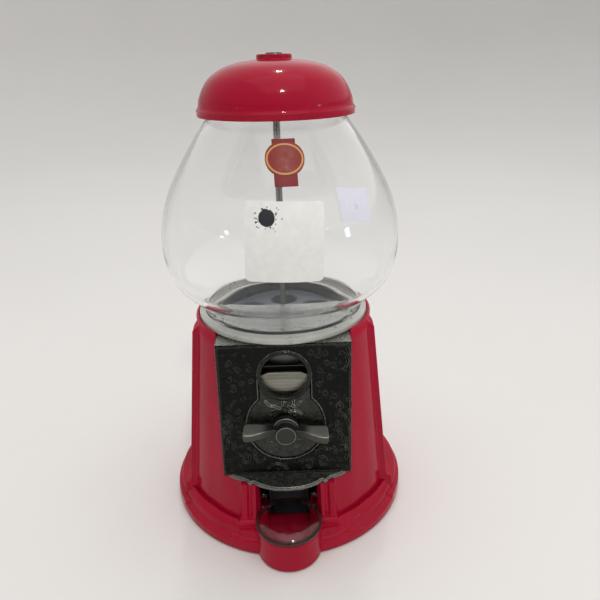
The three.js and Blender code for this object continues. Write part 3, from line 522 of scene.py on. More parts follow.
def stand_shell():
    columns = stand_columns()
    edge = STEP_HALF + 0.3
    edge_r = max(math.hypot(u, v) for u, v in columns if v <= edge + 1e-6 and v > STEP_HALF)
    edge_angle = math.asin(edge / edge_r)

    def at_radius(u, v, radius):
        if v <= edge + 1e-6:
            return math.sqrt(radius**2 - v**2), v
        share = (math.atan2(v, u) - edge_angle) / (math.pi / 2 - 2 * edge_angle)
        start = math.asin(edge / radius)
        angle = start + share * (math.pi / 2 - 2 * start)
        return radius * math.cos(angle), radius * math.sin(angle)

    def foot_point(u, v, spec):
        kind, size, z = spec
        if kind == "R":
            return (*at_radius(u, v, size), z)
        if kind == "U":
            return (size, v, z)
        s = stand_scale(z)
        out = (1, 0) if v < TAB_HALF else (u / math.hypot(u, v), v / math.hypot(u, v))
        return (u * s + size * out[0], v * s + size * out[1], z)

    def step(v, at, half):
        return min(1.0, max(0.0, (v - at + half) / (2 * half)))

    def quarter(points):
        """The eighth's points and their mirror images, as a whole ring."""
        mirrored = [(v, u, z) for u, v, z in points[::-1] if u - v > 1e-6]
        half = [q for q in [*points, *mirrored] if q[0] > TINY or q[1] > TINY]
        ring = []
        for turn in range(4):
            c, s = round(math.cos(turn * math.pi / 2)), round(math.sin(turn * math.pi / 2))
            ring += [(c * x - s * y, s * x + c * y, z) for x, y, z in half[:-1]]
        return ring

    def round_row(r, z):
        return quarter([(u * r / math.hypot(u, v), v * r / math.hypot(u, v), z) for u, v in columns])

    rows = []
    for specs in FOOT_ROWS:
        tab, beside, corner = [*specs, *[specs[-1]] * (3 - len(specs))]
        row = []
        for u, v in columns:
            past_tab, past_step = step(v, TAB_HALF, 0.2), step(v, STEP_HALF, 0.3)
            a, b, c = (np.array(foot_point(u, v, spec)) for spec in (tab, beside, corner))
            row.append(tuple(a * (1 - past_tab) + (b * (1 - past_step) + c * past_step) * past_tab))
        rows.append(quarter(row))
    for z in [*np.arange(BODY_FOOT, SHOULDER, BODY_STEP), SHOULDER]:
        rows.append(quarter([(u * stand_scale(z), v * stand_scale(z), z) for u, v in columns]))
    for z, drawn_in, roundness in SHOULDER_ROWS:
        row = []
        for u, v in columns:
            s = stand_scale(SHOULDER) * drawn_in
            r = math.hypot(u, v)
            flat, full = np.array([u * s, v * s]), np.array([u, v]) * RIM_RADIUS / r
            row.append((*(flat * (1 - roundness) + full * roundness), z))
        rows.append(quarter(row))
    rows += [round_row(r, z) for r, z in RIM_ROWS]
    for z in (SHOULDER - 0.6, 17.6):
        s = stand_scale(z)
        row = []
        for u, v in columns:
            r = math.hypot(u, v)
            row.append((u * (s - STAND_WALL / r), v * (s - STAND_WALL / r), z))
        rows.append(quarter(row))
    rows += [round_row(r, z) for r, z in HOLLOW_ROWS]
    return skin(rows, wrap_rows=True)


def build_stand():
    stand = solid("stand_casting", stand_shell())
    cup = fillet([(0, 0.8), (CUP_RADIUS, 0.8), (CUP_RADIUS, CUP_RIM), (0, CUP_RIM)], 0.9)
    carve(stand, "UNION", lathe(cup, 96, (0, CUP_Y)))
    carve(stand, "UNION", block(-20.4, 20.4, -64, -48.5, 0.8, CUP_RIM, 0.4),
          block(-14.5, 14.5, -50, -42.3, 0.8, 3), overlapping=True)
    cheeks = [sorted((side * (CHUTE_HALF - 0.1), side * 20.4)) for side in (-1, 1)]
    carve(stand, "UNION", *(block(*cheek, -62, -48.5, CUP_RIM - 1, 43.5) for cheek in cheeks))
    hollow = fillet([(14.6, 3), (16.8, 3.4), (16.8, 18.9), (17.9, 20.4)], 1.6, 5)
    pocket = [(0, 3), *hollow, (17.9, 20.6), (0, 20.6)]
    canopy_wedge = [(-52, 44.2), (-90, 44.2 - 38 * DROOP), (-90, 60), (-52, 60)]
    carve(stand, "DIFFERENCE",
          lathe(pocket, 96, (0, CUP_Y)),
          block(-13.2, 13.2, CUP_Y, -40, 3, CUP_RIM + 1),
          block(-CHUTE_HALF, CHUTE_HALF, -95, -45, CUP_RIM, 44.8),
          bore(20.4, CUP_RIM, 44.5, 96, (0, CUP_Y)),
          across(arc(1.5, 0, 6, 20, (HINGE_Y, HINGE_Z)), -19.9, 19.9),
          block(-PLATE_HALF - 0.4, PLATE_HALF + 0.4, -90, BOX_BACK + 0.4, 44.3, 200),
          across(canopy_wedge, -36.2, 36.2), overlapping=True)
    finished(stand, ENAMEL, "stand", "base_body", 30)


# ---- the faceplate ----
BUBBLES = [(-26, 14.8), (-19.5, 14.7), (-30.8, 10.4), (-31.4, 21.1), (-24.5, 23.4), (-29.1, 27.2), (-23.8, 33.1),
           (-32.2, 38.5), (-27.3, 41.1), (-33.5, 44.3), (-18.9, 22.1), (23.4, 6.2), (19.3, 7.3), (20, 16.7),
           (19.6, 25.2), (25.6, 20.8), (23.1, 31), (28.2, 33.2), (24.5, 12.3), (28.1, 13.7), (15.2, 5.6)]
STROKES = [
    [(30.2, 2), (32.2, 1.1), (34.6, 1.8), (36, 3.7), (36.9, 7)],
    [(32.2, 5.5), (34.6, 7.5), (35.9, 10.5), (35.5, 13.4), (34.3, 15.9)],
    [(35.8, 35.2), (37.6, 36.9), (37.9, 40), (36.4, 43.4), (34.6, 46.1), (35.8, 49.6), (37, 53.8), (37.3, 58.7)],
    [(31.5, 38.4), (30.6, 39.7), (31.8, 40.8), (33, 39.2), (31.5, 37.4), (30, 39), (30.9, 42.5), (33, 44.6),
     (35.2, 46.8)],
    [(29.7, 50), (29.9, 53.5), (31.5, 57.1), (33.3, 60), (34.2, 64.3), (34.9, 68.6)],
    [(35.2, 75.1), (35.8, 70), (35.2, 65), (36.4, 60.8)],
    [(-35.5, 47.3), (-33.7, 47), (-32, 48.4), (-31.9, 51.9), (-33.5, 53.3)],
    [(-35.8, 51.8), (-35.6, 57.4), (-34.3, 61.7), (-35.5, 65.2)],
    [(-27.1, 70.5), (-24.6, 69.2), (-22.2, 71.4), (-23, 75), (-25.5, 74.9), (-25.7, 72.4)],
    [(-21.9, 65.7), (-18.9, 68), (-19.1, 72.3), (-16.8, 75.3), (-13.6, 73.9)],
    [(-11.3, 79.9), (-7.5, 77.1), (-3.1, 78), (-0.1, 81)],
    [(8.8, 76.3), (12, 74.9), (14.5, 77.2), (13.8, 80.1), (11.3, 79.3)],
    [(19.5, 73), (22.7, 73.9), (23.2, 77.5), (20.7, 78.9), (19.5, 75.9)],
    [(16.5, 67.9), (20.2, 66.6), (24, 68.2), (27.7, 66.9), (28.9, 70.5)],
]
FLOWERS = [
    [(-10.3, 26.8), (-9.3, 30.2), (-6.9, 32.3), (-3.9, 31.7), (-1.6, 33.8), (-1.4, 37.9)],
    [(-11.3, 34.8), (-9, 37.6), (-6, 38.4), (-3, 39.9)],
    [(0.2, 35.3), (2.6, 33.3), (5, 35.4), (4.3, 38.8), (6.7, 38.2), (8.6, 35.6)],
    [(2.4, 42.1), (6, 41.6), (9, 43.7)],
]
KEYHOLE_RADIUS = 23.5
NECK_HALF = 16.0
PLATE_STEP = 0.32
# Small cast curls over the plate's ground: how many, where across and down, and how large.
GROUND_CURLS = [(84, (-35, 35), (61, 82), (0.8, 2.2)), (30, (25, 35.5), (33, 62), (0.7, 1.8)),
                (22, (-35, -25), (44, 62), (0.7, 1.8)), (24, (19, 35), (3, 32), (0.6, 1.4)),
                (26, (-35, -17), (3, 44), (0.5, 1.2))]
FIELD_CURLS = [(20, (-11, 11), (34.5, 45), (0.6, 1.5)), (16, (-13, 13), (58, 70), (0.6, 1.5))]


def ridge(distance, half, height):
    return height * np.sqrt(np.clip(1 - (distance / half) ** 2, 0, 1))


def stamp(h, x, s, line, half, height, apart=0.0):
    """Raises h along a line, or along two lines that run apart to either side of it."""
    reach = half + apart
    low, high = line.min(0) - reach, line.max(0) + reach
    window = (slice(*np.searchsorted(s[:, 0], (low[1], high[1]))),
              slice(*np.searchsorted(x[0], (low[0], high[0]))))
    wx, ws = x[window], s[window]
    best = np.full(wx.shape, 1e9)
    for a, d in zip(line, np.diff(line, axis=0)):
        t = np.clip(((wx - a[0]) * d[0] + (ws - a[1]) * d[1]) / max(d @ d, 1e-12), 0, 1)
        best = np.minimum(best, np.hypot(wx - a[0] - t * d[0], ws - a[1] - t * d[1]))
    h[window] = np.maximum(h[window], ridge(best - apart, half, height))


def curls(fields):
    """Small spirals scattered over each field."""
    for count, across_, down, size in fields:
        for _ in range(count):
            turn, sweep = random.uniform(0, 2 * math.pi), random.choice((-1, 1)) * random.uniform(3.2, 6.6)
            t = np.linspace(0, 1, 16)
            r = random.uniform(*size) * (1 - 0.68 * t)
            yield np.c_[random.uniform(*across_) + r * np.cos(turn + sweep * t),
                        random.uniform(*down) + r * np.sin(turn + sweep * t)]


def cast_texture(x, s, cell):
    """Smooth random swells between 0 and 1, about one to a cell."""
    values = np.array([[random.random() for _ in range(int(2 * PLATE_HALF / cell) + 3)]
                       for _ in range(int(PLATE_LENGTH / cell) + 3)])
    u, v = (x + PLATE_HALF) / cell, s / cell
    i, j = u.astype(int), v.astype(int)
    u, v = u - i, v - j
    u, v = u * u * (3 - 2 * u), v * v * (3 - 2 * v)
    return ((values[j, i] * (1 - u) + values[j, i + 1] * u) * (1 - v)
            + (values[j + 1, i] * (1 - u) + values[j + 1, i + 1] * u) * v)


def plate_height(x, s):
    """How far the cast relief stands out of the plate."""
    circle = np.hypot(x, s - CRANK_S) - KEYHOLE_RADIUS
    neck = np.hypot(x, s - np.clip(s, COIN_S, CRANK_S)) - NECK_HALF
    inside = np.minimum(circle, neck)
    ground = np.zeros_like(x)
    for line in curls(GROUND_CURLS):
        stamp(ground, x, s, line, 0.42, 0.36)
    for bx, bs in BUBBLES:
        away = np.hypot(x - bx, s - bs)
        ground = np.where(away < 1.5, 0.22 * (away < 0.8), ground)
        ground = np.maximum(ground, ridge(away - 1.45, 0.45, 0.42))
    for line in STROKES:
        stamp(ground, x, s, smooth(line, 5), 0.42, 0.62, 0.62)
    field = np.zeros_like(x)
    for line in curls(FIELD_CURLS):
        stamp(field, x, s, line, 0.42, 0.34)
    for line in FLOWERS:
        stamp(field, x, s, smooth(line, 5), 0.42, 0.6, 0.6)
    raised = 0.45 * np.clip(-(inside + 1.2) / 0.5, 0, 1)
    h = np.where(inside > 0.5, ground, np.where(inside < -1.5, raised + field, raised))
    h = np.maximum(h, ridge(inside + 0.5, 0.55, 0.95))
    rim = np.minimum(PLATE_HALF - np.abs(x), np.minimum(s, PLATE_LENGTH - s))
    h = np.maximum(h, ridge(rim - 1.2, 0.6, 0.4))
    h += 0.10 * cast_texture(x, s, 2.3) + 0.07 * cast_texture(x, s, 0.9) - 0.08
    return h - 0.7 * (1 - np.sqrt(np.clip(1 - (1 - np.clip(rim / 0.7, 0, 1)) ** 2, 0, 1)))


def plate_relief(p):
    """The patina's lightness at points in the stand's frame: worn pale where the casting stands proud."""
    return np.clip(((p - PLATE_TOP) @ PLATE_OUT) / 1.05, 0, 1)


def plate_slab():
    xs = np.linspace(-PLATE_HALF, PLATE_HALF, round(2 * PLATE_HALF / PLATE_STEP) + 1)
    ss = np.linspace(0, PLATE_LENGTH, round(PLATE_LENGTH / PLATE_STEP) + 1)
    x, s = np.meshgrid(xs, ss)
    front = np.c_[x.ravel(), s.ravel(), plate_height(x, s).ravel()]
    faces, edge = grid(*x.shape)
    base = len(front)
    back = front[edge].copy()
    back[:, 2] = -PLATE_THICK
    count = len(edge)
    faces += [(edge[i], edge[(i + 1) % count], base + (i + 1) % count, base + i) for i in range(count)]
    faces.append(tuple(range(base, base + count)))
    return np.vstack([front, back]), faces, 0.0


def canopy_shells():
    half = [(35.4, -53), (35.2, -56), (32, -58), (28, -59.6), (24.6, -60.8), (23.6, -62.6), (21.3, -63.2),
            (20.4, -62), (18.5, -63.7), (14, -65.9), (8, -67.8)]
    outline = [*half, (0, -68.4), *[(-x, y) for x, y in half[::-1]]]
    outline = fillet(outline, 1.6, 4, closed=True)

    def drooped(shell, lift):
        p, faces, relief = shell
        return np.c_[p[:, 0], p[:, 1], p[:, 2] + lift + DROOP * (p[:, 1] + 56)], faces, relief

    # Painted sheen: the lip is coloured pale (0.85) and the thin bar along its front edge nearly palest (0.95),
    # standing in for the streaky sheen and the bright glint line along the front.
    lip = drooped(slab(outline, 0, 1.8, 0.45, relief=0.85), 43.6)
    front = [q for q in inset(outline, 1.1) if q[1] < -53.9]
    order = sorted(range(len(front)), key=lambda i: -front[i][0])
    line = [(front[i][0], front[i][1], 0) for i in order]
    return [lip, drooped(tube(line, 0.42, relief=0.95), 43.6 + 1.8)]


def build_faceplate():
    plate = solid("plate_tool", on_plate(plate_slab()))
    coin_tool = on_plate(bore(COIN_RADIUS + 0.9, -9, 9, 96, (0, COIN_S)))
    shaft_tool = facing_front(bore(3.4, -70, -40))
    carve(plate, "DIFFERENCE", coin_tool, shaft_tool)
    collar = fillet([(COIN_RADIUS, -PLATE_THICK), (COIN_RADIUS, 1.2), (COIN_RADIUS + 0.8, 1.7), (15.1, 1.6),
                     (15.9, 0.5), (15.9, -PLATE_THICK + 0.2)], 0.5, 4)
    side = [(PLATE_TOP[1] + 0.9, 128.9), (PLATE_TOP[1] - 4.4, 44.6), (-42, 44.6), (BOX_BACK, 56.6),
            (BOX_BACK, 128.9)]
    side = fillet(side, 0.6, 3, closed=True)
    box = solid("box_tool", block(-PLATE_HALF, PLATE_HALF, PLATE_TOP[1] + 0.9, BOX_BACK, 127, 129, 0.25))
    carve(box, "DIFFERENCE", bore(47.2, 120, 140, 128))
    post = fillet([(0, -52.4), (2.8, -52.4), (2.8, -41.8), (1.5, -41.8), (1.5, -46), (0, -46)], 0.3, 2)
    posts = [facing_front(lathe(post, 32), x, z) for x, z in SCREWS]
    boss = facing_front(lathe([(3.4, -52), (6, -52), (6, -49.6), (3.4, -49.6)], 48))
    shells = [shell_of(plate, plate_relief),
              on_plate(lathe(collar, 128, (0, COIN_S), relief=0.35)),
              # Painted sheen: the ledge's top face is coloured palest (1.0) and the rest dark (0.2), standing in
              # for the light its top catches from above.
              shell_of(box, lambda p: np.where(p[:, 2] > 128.6, 1.0, 0.2)),
              across(side, -PLATE_HALF, -36.6, 0.2, relief=0.15),
              across(side, 36.6, PLATE_HALF, 0.2, relief=0.15),
              *posts, boss, *canopy_shells()]
    piece("coin_faceplate", shells, PEWTER, "stand", "mech_faceplate", 40)


# ---- the crank ----
WING_X = [3, 6, 10.5, 14.5, 19, 22.5, 23.6, 24.2]
WING_FRONT = [-63.4, -63.5, -64.2, -66.4, -68.9, -69.4, -69.1, -68.0]
WING_BACK = [-58.2, -58.0, -57.8, -57.6, -57.5, -57.5, -57.7, -58.4]
WING_TURN = math.radians(3.5)  # the handle sits this far round on its square


def wing(side):
    """One wing of the handle: rounded rectangles along X, paler towards the tip for wear, and paler still there
    on its top faces as painted light from above.
    """
    stations = np.r_[np.linspace(3, 22.9, 26), 23.4, 23.8, 24.05, 24.2]
    rows, relief = [], []
    for x in stations:
        front, back = np.interp(x, WING_X, WING_FRONT), np.interp(x, WING_X, WING_BACK)
        drawn_in = 0.9 * max(0.0, (x - 23.2)) ** 2
        low, high = -2.3 + drawn_in, 2.2 - drawn_in
        outline = fillet([(front, low), (front, high), (back, high), (back, low)], 0.75, 4, closed=True)
        worn = min(1.0, max(0.0, (x - 8.5) / 6))
        for y, up in outline:
            rows.append((side * x, y, up))
            # painted light: the top faces get a paler colour, standing in for the light falling on them from
            # above
            top_light_mask = max(0.0, (up - high + 0.75) / 0.75)
            relief.append(0.12 + worn * (0.3 + 0.58 * top_light_mask))
    p, faces, _ = skin(np.array(rows).reshape(len(stations), -1, 3))
    turned = np.c_[p[:, 0] * math.cos(WING_TURN) + p[:, 2] * math.sin(WING_TURN), p[:, 1],
                   CRANK_Z + p[:, 2] * math.cos(WING_TURN) - p[:, 0] * math.sin(WING_TURN)]
    return turned, faces, np.array(relief)


def build_crank():
    hub = [(0, -66.1), *fillet([(4.4, -66.1), (5.7, -65.9), (5.7, -60.4), (6.4, -60)], 0.6, 4)]
    collar = [(6.4, -60), (7.5, -59.6), (7.5, -55.6), (7, -55.2), (3.3, -55.2), (3.3, -62), (0, -62)]
    collar = fillet(collar, 0.4, 4)
    # Painted highlights: two thin bands on the hub and the collar are coloured pale (0.75 and 1.0), standing in
    # for the bright rings of light on their rims.
    rings = [(5.5, -65.8, 0.75), (7.3, -59.5, 1.0)]
    highlight_bands = [facing_front(lathe(arc(0.22, 0, 5.6, 9, (r, y)), 64, relief=value))
             for r, y, value in rings]
    turned = facing_front(lathe(np.vstack([hub, collar]), 64, relief=0.14))
    piece("crank_handle_casting", [turned, *highlight_bands, wing(1), wing(-1)], HANDLE, "crank", "crank_handle",
          40)
    reach, flat = 33.2, 31.9
    half_angle = math.acos(flat / reach)
    outline = arc(reach, math.pi / 2 + half_angle, 2.5 * math.pi - half_angle, 150, (0, CRANK_Z))
    p, faces, _ = slab(outline, -49.3, -47.3, 0.3)
    disc = np.c_[p[:, 0], p[:, 2], p[:, 1]], faces, 0.0
    hub_back = facing_front(lathe([(3.4, -48), (6, -48), (6, -41.8), (3.4, -41.8)], 64))
    wheel = carve(solid("coin_wheel_disc", disc), "DIFFERENCE",
                  facing_front(bore(3.3, -55, -40, 48)))
    shells = [shell_of(wheel), hub_back]
    piece("coin_disc", shells, BRUSHED, "crank", "coin_wheel")
    shaft = fillet([(0, -61.6), (3, -61.6), (3, -33.1), (0, -33.1)], 0.3, 3)
    piece("crank_spindle", [facing_front(lathe(shaft, 48))], ZINC, "crank", "crank_shaft")


# ---- the throat ----
WHEEL_TEETH = 60
POCKETS = 6
POCKET_PITCH = 24.5


def build_throat():
    bowl = fillet([(41.3, 111), (41.3, 127.2), (46.8, 127.2), (46.8, 128.8), (41.3, 128.8), (41.3, 131.2),
                   (39.8, 131.2), (39.8, 112.8)], 0.35, 3)
    pan = solid("pan_pressing", lathe([(0, 111), *bowl, (0, 112.8)], 128))
    carve(pan, "DIFFERENCE",
          block(-12.2, 12.2, -38.3, -33.4, 105, 113.8),
          bore(9.2, 105, 113.8, 64, (0, -POCKET_PITCH)),
          bore(ROD_BORE, 100, 130), overlapping=True)
    finished(pan, DARK_STEEL, "stand", "hopper_pan")

    front = [q for q in arc(38.4, math.pi, 2 * math.pi, 120) if abs(q[0]) < 35.4]
    left = [(-35.5, -2.6), (-35.5, -7), (-40.6, -7), (-39.4, -12), (-35.5, -12)]
    whole = [*left, *front, *[(-x, y) for x, y in left[::-1]]]
    shield = slab(fillet(whole, 0.5, 2, closed=True), 131.5, 133, 0.35)
    head = [(0, 132.8), (1.7, 132.8), (1.7, 133.2), (1.4, 133.6), (0.8, 133.8), (0, 133.85)]
    rivet = lathe(head, 40, (0.1, -32.2))
    piece("gum_baffle_plate", [shield, rivet], GREY_PLASTIC, "stand", "gum_baffle")

    gasket = fillet([(43.5, 128.95), (51.4, 128.95), (51.4, 129.5), (43.5, 129.5)], 0.2, 3, closed=True)
    piece("gasket_ring", [lathe(gasket, 128)], WHITE_RUBBER, "stand", "globe_gasket")

    blank = [(0, 113.1), (7, 113.1), (7, 116), (39, 116), (39, 124.8), (37.8, 126), (12, 126),
             *smooth([(12, 126), (9, 127), (7, 128.5), (3, 129.1), (2.3, 129.15)], 4), (0, 129.2)]
    wheel = solid("gum_wheel_disc", lathe(fillet(blank, 0.4, 3), 128))
    pocket = [(0, 100), (8.5, 100), (8.5, 125.2), (9.33, 126.03), (9.33, 140), (0, 140)]
    tools = [bore(ROD_BORE, 100, 140)]
    for i in range(POCKETS):
        angle = -math.pi / 2 + i * 2 * math.pi / POCKETS
        tools.append(lathe(pocket, 56, (POCKET_PITCH * math.cos(angle), POCKET_PITCH * math.sin(angle))))
    carve(wheel, "DIFFERENCE", *tools)
    teeth = []
    for i in range(WHEEL_TEETH):
        middle = -math.pi / 2 + (i + 0.5) * 2 * math.pi / WHEEL_TEETH
        rows = []
        for z, half in [(113.45, 0.0203), (113.6, 0.0222), (115.2, 0.0415), (116.4, 0.0487)]:
            rows.append([(r * math.cos(middle + a), r * math.sin(middle + a), z)
                         for r, a in [(34, -half), (38, -half), (38, half), (34, half)]])
        teeth.append(skin(rows))
    shells = [shell_of(wheel), *teeth]
    piece("gum_wheel_moulding", shells, DARK_PLASTIC, "gum_wheel", "dispensing_wheel")

    rod = fillet([(0, 1.2), (2, 1.2), (2, 277.6), (0, 277.6)], 0.4, 3)
    piece("tie_rod_bar", [lathe(rod, 48)], ROD_STEEL, "stand", "tie_rod")


# ---- the globe and its labels ----
COLLAR = [(48.7, 129.7), (52.2, 129.7), (52.2, 132.5), (50.2, 133.4), (49.1, 134.1), (48.7, 134.1)]
GLOBE_OUT = [(48.6, 129.7), (48.6, 132), (48.6, 134), (48.6, 136), (50.6, 139.5), (55.6, 145), (61.6, 150.4),
             (66, 156.4), (69.2, 166), (70.2, 177), (69.1, 190), (64.9, 204), (57.2, 219.5), (47.2, 235.4),
             (40.2, 245), (38.8, 248), (38.8, 249.6)]
GLOBE_IN = [(36.6, 249.6), (36.7, 247.4), (38.4, 243.4), (45.3, 234), (55.1, 218.6), (62.7, 203.4),
            (66.9, 189.6), (68, 177), (67, 166.6), (64.2, 157.6), (60, 151.8), (54, 146.5), (48.9, 140.7),
            (47, 137.2), (46.6, 134.25), (46.6, 132), (46.6, 129.7)]
OUTSIDE = smooth(GLOBE_OUT, 6)


def globe_radius(z):
    """The smooth globe's outside radius at a height on its body."""
    body = OUTSIDE[OUTSIDE[:, 1] > 138]
    return float(np.interp(z, body[:, 1], body[:, 0]))


CELLS = 40  # in a label, each way


def sticker(name, look, node, centre, halves, corner, tilt=0.0, lift=0.15, thick=0.16):
    """A thin rounded label that follows the globe, turned by tilt degrees, with its flat coordinates."""
    middle = math.asin(centre[0] / globe_radius(centre[1]))
    turn = math.radians(tilt)
    flat, layers = [], []
    for j in range(CELLS + 1):
        w = halves[1] * math.sin(math.pi / 2 * (2 * j / CELLS - 1))
        into = max(0.0, abs(w) - (halves[1] - corner))
        wide = halves[0] - corner + math.sqrt(max(corner**2 - into**2, 0.0009))
        for i in range(CELLS + 1):
            flat.append((wide * (2 * i / CELLS - 1), w))
    for height in (lift, lift + thick):
        for u, w in flat:
            along, up = u * math.cos(turn) - w * math.sin(turn), u * math.sin(turn) + w * math.cos(turn)
            z = centre[1] + up
            radius = globe_radius(z)
            angle = middle + along / radius
            layers.append(((radius + height) * math.sin(angle), -(radius + height) * math.cos(angle), z))
    quads, rim = grid(CELLS + 1, CELLS + 1)
    size = len(flat)
    faces = quads + [tuple(size + q for q in quad) for quad in quads]
    faces += [(a, b, size + b, size + a) for a, b in zip(rim, rim[1:] + rim[:1])]
    distance = np.hypot([u / halves[0] for u, _ in flat], [w / halves[1] for _, w in flat])
    ring = np.clip(1 - np.abs(distance - 0.9) / 0.1, 0, 1)
    mesh = mesh_of(name, [(np.array(layers), faces, np.tile(ring, 2))])
    own = mesh.attributes.new("flat", "FLOAT_VECTOR", "POINT")
    own.data.foreach_set("vector", [c for u, w in flat * 2 for c in (u, w, 0.0)])
    return finished(linked(name, mesh), look, "globe_set", node)


def build_globe():
    inside = smooth(GLOBE_IN, 6)
    rim = fillet([(38.8, 249.6), (38.8, 250.4), (36.6, 250.4), (36.6, 249.6)], 0.8, 4)[1:-1]
    piece("globe_shell", [lathe(np.vstack([OUTSIDE, rim, inside]), 160)], GLASS, "globe_set", "globe",
          50)
    collar = fillet(COLLAR, 0.5, 4, closed=True)
    piece("globe_foot_collar", [lathe(collar, 160)], FROSTED, "globe_set", "globe", 50)
    sticker("label_front", LABEL, "front_label", (3.2, 192.4), (19.9, 19.4), 2.6, tilt=-2.3)
    sticker("label_lot", LOT_PAPER, "lot_label", (39.3, 206.7), (9.8, 7.9), 0.3, tilt=-7.6)
    sticker("seal_tail", RIBBON, "seal_label", (4.4, 228.8), (5.8, 10.6), 0.2)
    sticker("seal_round", FOIL, "seal_label", (4.4, 230.5), (9.8, 7.3), 7.29, lift=0.33, thick=0.2)


# ---- the lid ----
def build_lid():
    bead = [(42.2, 250.8), (42.2, 247.6), (44, 247.6), (44, 250.1), (44.4, 250.7), (43.5, 251.8)]
    bead = fillet(bead, 0.45, 4)
    dome = smooth([(43.5, 251.8), (43.0, 253), (42.3, 256.6), (39.6, 262.6), (35.4, 267.8), (28, 272.3),
                   (19, 274.8), (11.4, 275.75)], 6)
    boss = fillet([(11.4, 275.75), (9.7, 276), (9.6, 278.1), (9.1, 278.6), (5.1, 278.6), (5.1, 276.2),
                   (2.6, 276.2), (2.6, 273.6)], 0.5, 4)
    under = smooth([(2.6, 273.6), (18.4, 272.6), (27, 270.2), (34, 265.8), (38, 261), (40.6, 255.4)], 4)
    end = fillet([(40.6, 255.4), (35.4, 252.4), (35.4, 250.8), (42.2, 250.8)], 0.4, 3)
    profile = np.vstack([bead[1:], dome[1:], boss[1:], under[1:], end[1:-1], bead[:1]])
    piece("lid_casting", [lathe(profile, 160)], ENAMEL, "lid_set", "lid", 40)
    nut = [(0, 278), (2.3, 278), (2.3, 276.6), (4.7, 276.6), (4.7, 278.9), (4.2, 279.4), (0, 279.4)]
    screw = solid("lid_nut_turned", lathe(fillet(nut, 0.4, 3), 64))
    carve(screw, "DIFFERENCE", block(-6, 6, -0.6, 0.6, 278.7, 290))
    finished(screw, DARK_STEEL, "nut", "lid_nut")


# ---- the flap, the foot and what is hidden ----
def build_flap():
    top = smooth([(0, 25.6), (5, 25.5), (10, 24.95), (14, 24.0), (16.6, 22.8), (17.7, 22.05)], 5)
    under = smooth([(17.4, 21.0), (16.1, 21.9), (13.6, 23), (9.8, 23.9), (5, 24.4), (0, 24.55)], 5)
    shells = [lathe(np.vstack([top, under]), 128, (0, CUP_Y))]
    rim = [(17.8, 22.0), (18.3, 21.5), (19.6, 21.5), (19.6, 19.9), (17.5, 19.9), (17.5, 20.95)]
    rim = fillet(rim, 0.35, 3, closed=True)
    piece("flap_rim", [lathe(rim, 128, (0, CUP_Y))], RIM_PLASTIC, "flap", "chute_flap", 40)
    arm = fillet([(-60, 20.5), (HINGE_Y, 21.2), (HINGE_Y + 1.9, 22.4), (HINGE_Y + 1.9, 24.6), (HINGE_Y, 25.8),
                  (-56, 25.4), (-60, 23)], 0.7, 3, closed=True)
    for side in (-1, 1):
        near, far = sorted((side * 13.7, side * 16.6))
        shells.append(across(arm, near, far, 0.3))
        start, end = sorted((side * 15, side * 19.2))
        shells.append(across(arc(1.2, 0, 6.02, 24, (HINGE_Y, HINGE_Z)), start, end, 0.2))
    piece("flap_moulding", shells, CLEAR_PLASTIC, "flap", "chute_flap", 40)


def build_underside():
    gap = 0.2963  # half the angle of the gap left for the cup
    outline = [*arc(72.6, -math.pi / 2 + gap, 1.5 * math.pi - gap, 180), (-21.2, -32.5), (21.2, -32.5)]
    cover = solid("cover_plate", slab(outline, 4.7, 5.9, 0.2))
    carve(cover, "DIFFERENCE", bore(ROD_BORE, 0, 10))
    finished(cover, ZINC, "stand", "bottom_cover")
    for i, turn in enumerate((45, 135, 225, 315)):
        at = (61 * math.cos(math.radians(turn)), 61 * math.sin(math.radians(turn)))
        pad = fillet([(0, 0), (4.6, 0), (5.4, 1), (5.4, 4.4), (0, 4.4)], 0.5, 3)
        piece(f"rubber_foot_{i + 1}", [lathe(pad, 48, at)], BLACK_RUBBER, "stand", f"foot_pad_{i + 1}")
    washer = fillet([(2.3, 3.8), (6.5, 3.8), (6.5, 4.6), (2.3, 4.6)], 0.2, 3, closed=True)
    piece("washer_ring", [lathe(washer, 48)], ZINC, "stand", "rod_washer")
    hexagon = [(4.4 * math.sin(k * math.pi / 3), 4.4 * math.cos(k * math.pi / 3)) for k in range(6)]
    nut = solid("hex_nut", slab(fillet(hexagon, 0.3, 3, closed=True), 1, 3.7, 0.3))
    carve(nut, "DIFFERENCE", bore(ROD_BORE, 0, 5))
    finished(nut, ZINC, "stand", "rod_nut")
    # The chute is its dark plastic, also dark enough to stand in as painted shade for the shadowed hollow under
    # the canopy.
    kept("gum_chute", DARK_PLASTIC, 0.3)
    kept("mech_backplate", BRUSHED, 0.25)
    kept("coin_pawl", BRUSHED, 0.15)
    for node in (*(f"mech_screw_{i + 1}" for i in range(4)), "idler_pin", "shaft_clip", "pawl_pin"):
        kept(node, ZINC, 0.1)
    for node in ("idler_gear", "drive_pinion"):
        kept(node, WHITE_PLASTIC, 0.1)


# ---- the studio ----
CAMERA_AT = np.array([6.604, -345.397, 276.309])
CAMERA_PITCH = math.radians(22.311)
CAMERA_YAW = math.radians(-0.681)
CAMERA_ROLL = math.radians(-1.468)
FOCAL = 590.32 / 600  # focal length as a share of the frame's width
TARGET = Vector((0.0, -0.02, 0.14))
BRIGHT_SIDE = (0.45, 0.65, 0.61)  # the room is brightest behind, above and to the right of the machine
ROOM = (0.15, 1.0)


def build_camera():
    data = bpy.data.cameras.new("camera")
    data.sensor_width = 36
    data.lens = FOCAL * data.sensor_width
    data.clip_start, data.clip_end = 0.01, 50
    camera = linked("camera", data)
    camera.matrix_world = (Matrix.Translation(CAMERA_AT * MM + ROD) @ Matrix.Rotation(CAMERA_YAW, 4, "Z")
                           @ Matrix.Rotation(math.pi / 2 - CAMERA_PITCH, 4, "X")
                           @ Matrix.Rotation(CAMERA_ROLL, 4, "Z"))
    bpy.context.scene.camera = camera


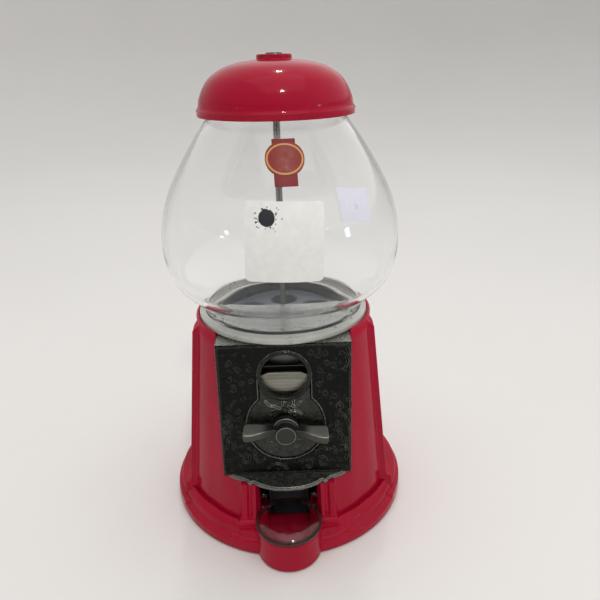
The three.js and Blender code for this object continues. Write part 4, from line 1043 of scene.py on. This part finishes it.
def softbox(name, azimuth, elevation, distance, size, power, color):
    """A panel lamp aimed at the machine; azimuth 0 is the front and grows towards +X."""
    data = bpy.data.lights.new(name, "AREA")
    data.shape, data.size, data.size_y = "RECTANGLE", size[0], size[1]
    data.energy, data.color = power, color
    lamp = linked(name, data)
    a, e = math.radians(azimuth), math.radians(elevation)
    away = Vector((math.sin(a) * math.cos(e), -math.cos(a) * math.cos(e), math.sin(e)))
    turn = away.to_track_quat("Z", "Y").to_matrix().to_4x4()
    lamp.matrix_world = Matrix.Translation(TARGET + away * distance) @ turn


def build_studio():
    sweep = smooth([(1.7, 0), (2.4, 0.08), (2.85, 0.3), (3.0, 0.75)], 8)
    p, faces, _ = lathe(np.vstack([[(0, 0)], sweep, [(3.03, 0.75), (3.03, -0.02), (0, -0.02)]]) * 1000, 96)
    floor = solid("floor", (p, faces, 0.0))
    floor.data.shade_smooth()
    floor.data.set_sharp_from_angle(angle=math.radians(40))
    floor.data.materials.append(look_of("floor_paint", [(0.79, 0.78, 0.765), (0.81, 0.80, 0.785)], scale=3,
                                        rough=(0.5, 0.6)))
    world = bpy.data.worlds.new("studio")
    bpy.context.scene.world = world
    world.use_nodes = True
    tree = world.node_tree
    tree.nodes["Background"].inputs["Color"].default_value = (1.0, 0.985, 0.97, 1)
    sky = node_of(tree, "TexCoord").outputs["Generated"]
    towards = node_of(tree, "VectorMath", sky, BRIGHT_SIDE, operation="DOT_PRODUCT")
    level = node_of(tree, "MapRange", Value=towards.outputs["Value"], From_Min=-1.0, From_Max=1.0,
                    To_Min=ROOM[0], To_Max=ROOM[1])
    feed(tree, tree.nodes["Background"].inputs["Strength"], level.outputs["Result"])
    softbox("ceiling_front", 15.4, 55.4, 1.25, (0.08, 0.08), 2.6, (1.0, 0.97, 0.93))
    softbox("ceiling_back", 175, 66, 1.25, (0.07, 0.07), 1.2, (1.0, 0.98, 0.95))
    softbox("overhead", 20, 78, 1.5, (1.4, 1.4), 3.4, (1.0, 0.98, 0.95))
    softbox("window", 66, 10, 1.5, (0.12, 0.18), 0.5, (0.72, 0.84, 1.0))
    softbox("left_glint", -55, 12, 1.5, (0.05, 0.05), 0.10, (0.80, 0.93, 1.0))
    bpy.context.scene.view_settings.view_transform = "Standard"


random.seed(7)
build_stand()
build_faceplate()
build_crank()
build_throat()
build_globe()
build_lid()
build_flap()
build_underside()
build_camera()
build_studio()
